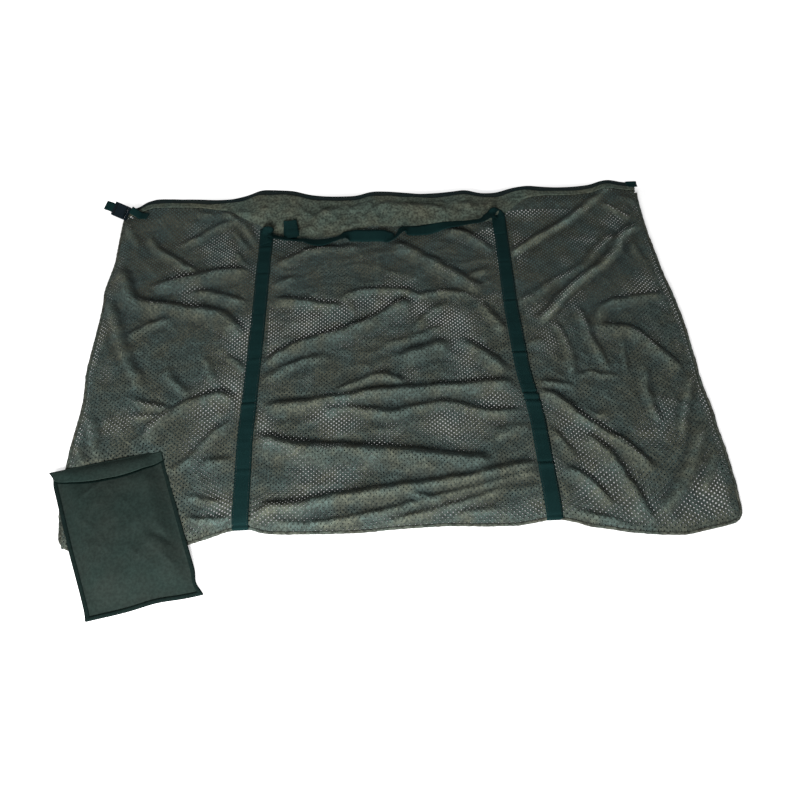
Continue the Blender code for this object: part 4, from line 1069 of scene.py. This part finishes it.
def front_strap(word, side, top, creases):
    """A strap that lies on the cloth, with creases and rows of stitches across it, and dives round the bottom
    seam.
    """
    seam_y = seam_under(side)
    bend = SEAM_RADIUS + 0.0003 + WEBBING / 2
    y = np.linspace(top, seam_y, 420)
    x = strap_line(side, y)
    z = sample(FRONT, x, y) + WEBBING / 2 + 0.0006
    z[-1] = SEAM_HEIGHT + bend
    settle = smoothstep((y - seam_y) / 0.02)
    z = z * settle + (SEAM_HEIGHT + bend) * (1 - settle)
    near_seam = smoothstep((y - seam_y - 0.003) / 0.004)
    z = np.maximum(z, (sample(FRONT, x, y) + WEBBING) * near_seam)
    ripple = 0.0006 * noise(y, y * 0 + side, 0.016, 41) * settle
    for place, depth in creases:
        dent = np.exp(-(((y - place) / 0.0030) ** 2))
        bulge = np.exp(-(((y - place + 0.009) / 0.0060) ** 2))
        z = z + settle * depth * (0.0020 * bulge - 0.0012 * dent)
    turn = np.radians(np.linspace(90, 270, 22))[1:]
    wrap = placed(x[-1], seam_y + bend * np.cos(turn), SEAM_HEIGHT + bend * np.sin(turn))
    tail = placed(x[-1], seam_y + np.array([0.006, 0.012]), SEAM_HEIGHT - bend)
    centre = np.concatenate([placed(x, y, z + np.abs(ripple)), wrap, tail])
    width_runs = placed(np.ones(len(centre)), 0.0, 0.0)
    width_runs[: len(y) - 5, 1] = (np.gradient(x) / np.gradient(y))[:-5]
    wide = ribbon(f"front_strap_{word}_webbing", centre, width_runs, STRAP_WIDTH)
    dress(wide, "webbing", "sack", "webbing", f"front_strap_{word}")
    inset = STRAP_WIDTH / 2 - STITCH_INSET
    lines = [centre[: len(y)] + np.array([edge * inset, 0, WEBBING / 2]) for edge in (-1, 1)]
    half_row = STRAP_WIDTH / 2 - 0.004
    for down in STITCHES_ACROSS:
        ys = np.full(30, top - down)
        xs = strap_line(side, ys) + np.linspace(-half_row, half_row, 30)
        lines.append(on_front(xs, ys, WEBBING + 0.0009))
    dress(stitches(f"front_strap_{word}_stitching", lines), "thread", "sack", "webbing")


# The front handle's two edges in space, in tenths of a millimetre: its far edge, then its near one
HANDLE = (
    (-3505, 3452, 155, -3169, 3352, 244), (-3512, 3663, 165, -3190, 3533, 255),
    (-3480, 3824, 230, -3209, 3624, 249), (-3387, 3823, 320, -3171, 3528, 339),
    (-3264, 3756, 360, -3133, 3460, 379), (-3183, 3775, 200, -3094, 3449, 349),
    (-3064, 3725, 150, -2998, 3424, 354), (-2894, 3686, 150, -2836, 3384, 356),
    (-2696, 3652, 150, -2643, 3347, 352), (-2499, 3611, 150, -2448, 3306, 353),
    (-2313, 3574, 150, -2277, 3267, 353), (-2133, 3538, 150, -2105, 3207, 313),
    (-1943, 3516, 150, -1921, 3172, 284), (-1742, 3526, 150, -1723, 3182, 284),
    (-1546, 3555, 150, -1527, 3226, 318), (-1349, 3606, 155, -1331, 3290, 347),
    (-1179, 3690, 165, -1167, 3358, 326), (-1009, 3751, 185, -1014, 3381, 170),
    (-811, 3744, 200, -822, 3379, 120), (-502, 3730, 200, -515, 3346, 120),
    (-193, 3712, 200, -209, 3329, 120), (2, 3680, 190, -13, 3314, 140),
    (138, 3572, 170, 115, 3215, 265), (262, 3539, 150, 261, 3234, 359),
    (381, 3677, 150, 383, 3376, 366), (502, 3796, 155, 470, 3461, 309),
    (657, 3830, 165, 620, 3464, 208), (883, 3831, 170, 847, 3463, 191),
    (1139, 3857, 170, 1109, 3489, 167), (1427, 3931, 170, 1400, 3561, 170),
    (1713, 3952, 170, 1679, 3594, 257), (1998, 3965, 170, 1959, 3625, 309),
    (2280, 3958, 180, 2236, 3636, 358), (2536, 3964, 190, 2498, 3650, 382),
    (2740, 4022, 200, 2715, 3703, 384), (2895, 4148, 210, 2881, 3811, 362),
    (3063, 4251, 220, 3020, 3894, 307), (3254, 4294, 220, 3038, 4000, 157),
    (3390, 4221, 200, 3012, 3939, 120), (3416, 3994, 180, 2992, 3811, 120),
    (3406, 3711, 160, 2984, 3642, 120), (3392, 3418, 155, 2983, 3438, 120),
)

GRIP_WIDTH = WEBBING_WIDTH - 0.001
BACK_GRIP_HALF = 0.319


def front_handle():
    """The webbing between the straps, drawn up to clear the cloth wherever it would sink into it."""
    edges = curve(np.array(HANDLE) / 10000.0, 460)
    far, near = edges[:, :3], edges[:, 3:]
    share = np.linspace(0, 1, len(edges))
    at_end = smoothstep((0.075 - np.minimum(share, 1 - share)) / 0.02)
    centre = (far + near) / 2
    across = unit(near - far)
    short = 0.0
    for place in (-1, -0.5, 0, 0.5, 1):
        spot = centre + across * (place * WEBBING_WIDTH / 2)
        lowest = sample(FRONT, spot[:, 0], spot[:, 1]) + WEBBING * (0.7 + 1.2 * at_end)
        short = np.maximum(short, lowest - spot[:, 2])
    steps = np.exp(-0.5 * (np.arange(-12, 13) / 5.0) ** 2)
    raised = np.convolve(np.pad(short, 12, mode="edge"), steps / steps.sum(), "valid")
    centre[:, 2] += np.maximum(raised, short)
    grip = ribbon("front_handle_webbing", centre, across, GRIP_WIDTH)
    dress(grip, "webbing", HANDLE_BEND, "webbing", "front_handle")


def handle_fold():
    """The doubled webbing near the front handle's left end."""
    t = np.linspace(0, 1, 60)
    up_down = np.where(t < 0.5, t * 2, 2 - t * 2)
    y = 0.352 + 0.056 * smoothstep(up_down * 0.98) ** 0.9
    lift = 0.010 + 0.006 * (t - 0.5) * 2 + 0.003 * np.sin(up_down * 3)
    line = on_front(np.full_like(t, -0.268), y, lift)
    line[:, 0] += 0.010 * (0.408 - y) / 0.056 * (t > 0.5)
    doubled = ribbon("front_handle_fold", line, (1.0, -0.06, 0.10), GRIP_WIDTH)
    dress(doubled, "webbing", HANDLE_BEND, "webbing")


def back_handle():
    x = np.linspace(-0.357, 0.357, 120)
    y = 0.4022 - 0.050 * smoothstep((1 - np.abs(x) / BACK_GRIP_HALF) / 0.55)
    below = ribbon("back_handle_webbing", placed(x, y, WEBBING / 2), (0.0, 1.0, 0.0), GRIP_WIDTH)
    dress(below, "webbing", "back_grip", "webbing", "back_handle")


def pouch_ground(y):
    """Height of what the pouch lies on: the sack, and past its edge the floor."""
    return 0.0108 * (1 - np.clip((-0.498 - y) / 0.13, 0, 1))


POUCH_EDGE_RISE = 0.0013
POUCH_FILL = 0.0125
# How far up the front sheet reaches, and how tall it is laid flat, as shares of the pouch's height
FRONT_SHEET_REACH = 0.965


def pouch_face(across, up):
    """Rise of the pouch's front over its back: full in the middle, flat along its bound edges."""
    to_side = (1 - np.abs(across)) * POUCH_HALF[0]
    to_low = (1 + up) * POUCH_HALF[1]
    to_top = (1 - up) * POUCH_HALF[1]
    full = smoothstep((to_side - 0.010) / 0.040) * smoothstep((to_low - 0.006) / 0.085)
    full = full * (0.18 + 0.82 * smoothstep((to_top - 0.005) / 0.075))
    a, b = across * POUCH_HALF[0], up * POUCH_HALF[1]
    waves = 0.0020 * noise(a, b, 0.085, 501) + 0.0010 * noise(a, b, 0.040, 503)
    pulls = 0.0022 * crease(a, b, 1.05, 0.065, 3.0, 505) + 0.0012 * crease(a, b, -1.2, 0.040, 3.0, 507)
    turn_a, turn_b = 0.62 * (a - 0.076) - 0.78 * (b + 0.035), 0.78 * (a - 0.076) + 0.62 * (b + 0.035)
    hollow = 0.0042 * np.exp(-((turn_a / 0.028) ** 2) - (turn_b / 0.011) ** 2)
    return POUCH_EDGE_RISE + full * (POUCH_FILL + waves + pulls - hollow)


def pouch_edge_lift(across, up):
    """The bottom edge stands off the floor to the right of its middle."""
    near_low = smoothstep((0.10 - (1 + up) * POUCH_HALF[1]) / 0.10)
    bulge = np.exp(-(((across - 0.15) / 0.38) ** 2))
    return 0.007 * near_low * bulge


def pouch_point(across, up, rise):
    """A point of the pouch, with its corners drawn out into small ears."""
    ear = np.abs(across) ** 10 * np.abs(up) ** 14
    pull = 0.012 * (1 - np.abs(up) ** 4) * np.abs(across) ** 3
    right_nip = 0.045 * np.exp(-(((up + 0.84) / 0.10) ** 2))
    left_nip = -0.028 * np.exp(-(((up - 0.90) / 0.07) ** 2))
    nip = np.where(across > 0, right_nip, left_nip)
    across2 = across * (1 + 0.02 * ear) - np.sign(across) * pull * 0.6 - nip * np.abs(across) ** 6
    low_wave = 0.003 * np.exp(-(((across - 0.25) / 0.35) ** 2)) * smoothstep((-up - 0.6) / 0.4)
    x, y = pouch_place(across2, up)
    y = y + low_wave
    return placed(x, y, pouch_ground(y) + rise + pouch_edge_lift(across, up))


# The binding's section: how far in from the pouch's edge, and how high
BINDING_STEPS = (
    (0.0084, 0.0021), (0.0042, 0.0023), (0.001, 0.0022), (-0.0012, 0.0012), (0.001, 0.0), (0.0084, -0.0001),
)


def pouch():
    a, b = np.meshgrid(np.linspace(-1, 1, 90), np.linspace(-1, 1, 126), indexing="ij")
    back = surface("pouch_back_sheet", pouch_point(a, b, 0.0004), flat_place(a, b), 0.0006)
    dress(back, "pouch_nylon", "pouch", "pouch_nylon", "pouch_back")
    b = -1 + (b + 1) * FRONT_SHEET_REACH
    face = surface("pouch_front_sheet", pouch_point(a, b, pouch_face(a, b)), flat_place(a, b), 0.0006)
    dress(face, "pouch_nylon", "pouch", "pouch_nylon", "pouch_front")


def bindings():
    """Tape folded round the pouch's left, right and bottom edges."""
    edge = np.linspace(-1, 1, 120)
    ends = np.full_like(edge, 1)
    turned = np.linspace(0, 0.02, len(BINDING_STEPS))
    along, across_tape = np.meshgrid(edge * POUCH_HALF[1], turned, indexing="ij")
    for name, line, inward in (
        ("left", (-ends, edge), (1, 0)), ("right", (ends, edge), (-1, 0)), ("bottom", (edge, -ends), (0, 1)),
    ):
        rows = []
        for reach, rise in BINDING_STEPS:
            across = line[0] + inward[0] * reach / POUCH_HALF[0]
            up = line[1] + inward[1] * reach / POUCH_HALF[1]
            lift = rise + (pouch_face(across, up) - POUCH_EDGE_RISE if rise > 0.002 else 0)
            rows.append(pouch_point(across, up, lift))
        flat = np.stack([across_tape, along], -1)
        tape = surface(f"pouch_binding_{name}_tape", np.stack(rows, 1), flat, 0.0005)
        dress(tape, "pouch_binding_cloth", "pouch", "pouch_binding_cloth", f"pouch_binding_{name}")


FLAP_MIDDLE = 0.048
FLAP_ENDS = 0.026
FLAP_FOLD_RISE = 0.0016
FLAP_EDGE_RISE = 0.0036
FLAP_CLEARANCE = 0.0022
# Where the dark strip under the flap's edge, a painted shadow, lies, as shares of the flap's depth
FLAP_PAINTED_SHADOW_SPAN = (0.88, 1.11)
HOOK_STRIP_DROP = 0.020
HOOK_STRIP_DEPTH = 0.016


def flap_depth(across):
    """How far down the pouch the flap reaches, as a share of the pouch's half height."""
    return (FLAP_MIDDLE + (FLAP_ENDS - FLAP_MIDDLE) * np.abs(across) ** 2.2) / POUCH_HALF[1]


def flat_place(across, up):
    return np.stack([across * POUCH_HALF[0], up * POUCH_HALF[1]], -1)


def closure():
    """The flap over the pouch's mouth, with the hook strip under it and the loop strip on the front sheet."""
    a, s = np.meshgrid(np.linspace(-1, 1, 90), np.linspace(0, 1, 26), indexing="ij")
    depth = flap_depth(a)
    up = 1 - depth * s
    level = pouch_face(a, 1 - depth) + FLAP_EDGE_RISE
    rise = FLAP_FOLD_RISE + (level - FLAP_FOLD_RISE) * (1 - (1 - s) ** 3)
    rise = rise + 0.0008 * s * noise(a * 0.12, s * 0.05, 0.05, 521)
    rise = np.maximum(rise, pouch_face(a, up) + FLAP_CLEARANCE * smoothstep(s / 0.2))
    flap = surface("pouch_flap_sheet", pouch_point(a * 0.985, up, rise), flat_place(a, up), 0.0008)
    dress(flap, "flap_painted_light_fabric", FLAP_BEND, "pouch_nylon", "pouch_flap")
    # A dark strip on the front sheet, just under the flap's edge: a painted shadow
    a, s = np.meshgrid(np.linspace(-1, 1, 90), np.linspace(*FLAP_PAINTED_SHADOW_SPAN, 6), indexing="ij")
    up = 1 - flap_depth(a) * s
    points = pouch_point(a * 0.975, up, pouch_face(a, up) + 0.0013)
    edge = surface("pouch_flap_painted_shadow", points, flat_place(a, up), 0.0008)
    dress(edge, "flap_painted_shadow", FLAP_BEND, "pouch_nylon")
    for name, body, lift in (("pouch_loop_tape", "pouch", 0.0008), ("pouch_hook_tape", FLAP_BEND, 0.0022)):
        a, t = np.meshgrid(np.linspace(-0.49, 0.49, 40), np.linspace(0, 1, 6), indexing="ij")
        up = (POUCH_HALF[1] - HOOK_STRIP_DROP - HOOK_STRIP_DEPTH * t) / POUCH_HALF[1]
        points = pouch_point(a, up, pouch_face(a, up) + lift)
        strip = surface(f"{name}_strip", points, flat_place(a, up), 0.0008)
        dress(strip, "hook_and_loop", body, "hook_and_loop", name)


def corners_of(node):
    return np.array([v.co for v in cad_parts[node].data.vertices])


def clip_tab():
    """The tab on the clip's outer bar, along the length and breadth of its solid."""
    tab = corners_of("clip_female_tab")
    middle = tab.mean(0)
    axes = np.linalg.svd(tab - middle, full_matrices=False)[2]
    extents = [np.ptp((tab - middle) @ axis) for axis in axes]
    widest, next_widest = np.argsort(extents)[::-1][:2]
    wide, long = axes[widest], axes[next_widest]
    if (corners_of("clip_female").mean(0) - middle) @ long < 0:
        long = -long
    if wide[1] < 0:
        wide = -wide
    t = np.linspace(0, 1, 26)
    centre = middle + long * (extents[next_widest] * (0.5 - t))[:, None]
    centre[:, 2] += 0.0012 * np.sin(t * 5)
    made = ribbon("clip_tab_webbing", centre, wide, extents[widest] * 0.9)
    dress(made, "webbing", "clip_shell", "webbing", "clip_female_tab")


def clip_loop():
    """The loop from the clip's inner bar to the sack's corner."""
    loop = corners_of("clip_male_loop")
    start = loop[np.argsort(loop[:, 2])[-4:]].mean(0)
    finish = loop[np.argsort(loop[:, 0])[-4:]].mean(0)
    sag = []
    for part, down in ((0.28, 0.004), (0.55, 0.006)):
        sag.append(start * (1 - part) + finish * part - np.array([0, 0, down]))
    line = curve(np.array([start, *sag, finish]), 40)
    line[:, 2] = np.maximum(line[:, 2], sample(FRONT, line[:, 0], line[:, 1]) + 0.0042)
    share = np.linspace(0, 1, 40)[:, None]
    across = unit(np.array([0.35, 0.80, 0.35])) * (1 - share) + np.array([0.36, 0.93, 0.0]) * share
    made = ribbon("clip_loop_webbing", line, across, 0.022)
    dress(made, "webbing", "sack", "webbing", "clip_male_loop")


def end_tab():
    """The folded tab at the right end of the zip."""
    low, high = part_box("zip_end_tab")
    t = np.linspace(0, 1, 30)
    x = np.full_like(t, (low.x + high.x) / 2)
    y = high.y - (high.y - low.y) * t + top_out(x)
    line = on_front(x, y, 0.0034 + 0.0006 * np.sin(t * 9))
    made = ribbon("zip_end_tab_webbing", line, (1.0, 0.0, 0.0), high.x - low.x)
    dress(made, "webbing", "sack", "webbing", "zip_end_tab")


METAL_NODES = ("zip_slider", "zip_puller", "zip_top_stop_front", "zip_top_stop_back", "zip_bottom_stop")
PLASTIC_NODES = ("clip_female", "clip_male", "clip_prong_front", "clip_prong_back")


def hard_parts():
    for look, nodes in (("black_metal", METAL_NODES), ("clip_plastic", PLASTIC_NODES)):
        for node in nodes:
            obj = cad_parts[node]
            obj.data.materials.clear()
            obj.data.materials.append(LOOKS[look])
            for polygon in obj.data.polygons:
                polygon.use_smooth = False


# Where the camera stands, how it is turned, in radians, and how long its lens is in pixels of the picture
CAMERA_PLACE = (-0.0038, -0.9162, 1.395)
CAMERA_PITCH = 1.0747
CAMERA_ROLL = -0.0258
CAMERA_YAW = 0.0242
LENS_PIXELS = 648.75
PICTURE_PIXELS = 800
SENSOR = 36.0


def make_camera():
    pitch, roll, yaw = CAMERA_PITCH, CAMERA_ROLL, CAMERA_YAW
    ahead = Vector((math.sin(yaw) * math.cos(pitch), math.cos(yaw) * math.cos(pitch), -math.sin(pitch)))
    right = Vector((math.cos(yaw), -math.sin(yaw), 0.0))
    up = right.cross(ahead)
    turned_right = math.cos(roll) * right + math.sin(roll) * up
    turned_up = -math.sin(roll) * right + math.cos(roll) * up
    data = bpy.data.cameras.new("camera")
    data.sensor_width = SENSOR
    data.lens = LENS_PIXELS / PICTURE_PIXELS * SENSOR
    data.clip_start, data.clip_end = 0.05, 50.0
    data.dof.use_dof = False
    camera = bpy.data.objects.new("camera", data)
    bpy.context.scene.collection.objects.link(camera)
    matrix = Matrix((turned_right, turned_up, -ahead)).transposed().to_4x4()
    matrix.translation = Vector(CAMERA_PLACE)
    camera.matrix_world = matrix
    bpy.context.scene.camera = camera


def seen_directly(tree):
    """1 for rays that show the background: from the camera, in a reflection or through glass."""
    path = tree.nodes.new("ShaderNodeLightPath")
    found = path.outputs["Is Camera Ray"]
    for kind in ("Is Glossy Ray", "Is Transmission Ray"):
        either = tree.nodes.new("ShaderNodeMath")
        either.operation = "MAXIMUM"
        tree.links.new(found, either.inputs[0])
        tree.links.new(path.outputs[kind], either.inputs[1])
        found = either.outputs[0]
    return found


# The floor glows white to the camera, but only half as much under the middle part of the sack and up to this
# far beyond it: a painted shade round the sack on top of its real shadow, and a painted light on the shadowed
# floor that shows through the net's holes
FLOOR_LEVEL = -0.0004
FLOOR_REACH = 6.0
FLOOR_WHITE = 0.94
FLOOR_GLOW_WITH_PAINTED_SHADE = 0.50
FLOOR_FADE = 0.07
SHADED_HALF = (("X", 0.765), ("Y", 0.500))


def floor():
    square = ((-1, -1), (1, -1), (1, 1), (-1, 1))
    corners = [(x * FLOOR_REACH, y * FLOOR_REACH, FLOOR_LEVEL) for x, y in square]
    ground = mesh_object("floor", corners, [[0, 1, 2, 3]])
    look = Look("floor_look", 0.9, specular=0.0)
    look.give(look.shader, "Base Color", (0.80, 0.80, 0.80))
    look.give(look.shader, "Emission Color", (1.0, 1.0, 1.0))
    apart = look.node("ShaderNodeSeparateXYZ", (0, look.node("ShaderNodeTexCoord").outputs["Object"]))
    beyond = look.node("ShaderNodeCombineXYZ")
    for axis, half in SHADED_HALF:
        past = look.maths("SUBTRACT", look.maths("ABSOLUTE", apart.outputs[axis]), half)
        look.give(beyond, axis, look.maths("MAXIMUM", past, 0.0))
    away = look.node("ShaderNodeVectorMath", (0, beyond.outputs[0]))
    away.operation = "LENGTH"
    # Painted shade and light: the glow rises from its level under the sack to full white FLOOR_FADE beyond it
    glow_with_painted_shade = look.ramp(away.outputs["Value"], 0.0, FLOOR_FADE, FLOOR_GLOW_WITH_PAINTED_SHADE, FLOOR_WHITE)
    glow_with_painted_shade.node.interpolation_type = "SMOOTHSTEP"
    look.give(look.shader, "Emission Strength", look.maths("MULTIPLY", glow_with_painted_shade, seen_directly(look.tree)))
    ground.data.materials.append(look.material)


SKY_ON_SACK = 0.25
SKY_SHOWN = 1.0


def sky():
    world = bpy.data.worlds.new("studio")
    bpy.context.scene.world = world
    world.use_nodes = True
    tree = world.node_tree
    background = tree.nodes["Background"]
    background.inputs["Color"].default_value = (1, 1, 1, 1)
    blend = tree.nodes.new("ShaderNodeMapRange")
    blend.inputs["To Min"].default_value = SKY_ON_SACK
    blend.inputs["To Max"].default_value = SKY_SHOWN
    tree.links.new(seen_directly(tree), blend.inputs["Value"])
    tree.links.new(blend.outputs["Result"], background.inputs["Strength"])


def lamp(name, place, aim, size, power):
    data = bpy.data.lights.new(name, "AREA")
    data.shape = "DISK"
    data.size = size
    data.energy = power
    made = bpy.data.objects.new(name, data)
    bpy.context.scene.collection.objects.link(made)
    made.location = place
    made.rotation_mode = "QUATERNION"
    made.rotation_quaternion = (Vector(aim) - Vector(place)).to_track_quat("-Z", "Y")


make_camera()
floor()
sky()
lamp("front_softbox", place=(-0.42, -1.85, 1.05), aim=(0.0, 0.10, 0.0), size=1.00, power=85.0)
bpy.context.scene.view_settings.view_transform = "Standard"
for build in (
    panels, seams, front_hem, back_hem, hem_stitching, zip_tapes, zip_teeth, straps, front_handle,
    handle_fold, back_handle, pouch, bindings, closure, clip_tab, clip_loop, end_tab, hard_parts,
):
    build()
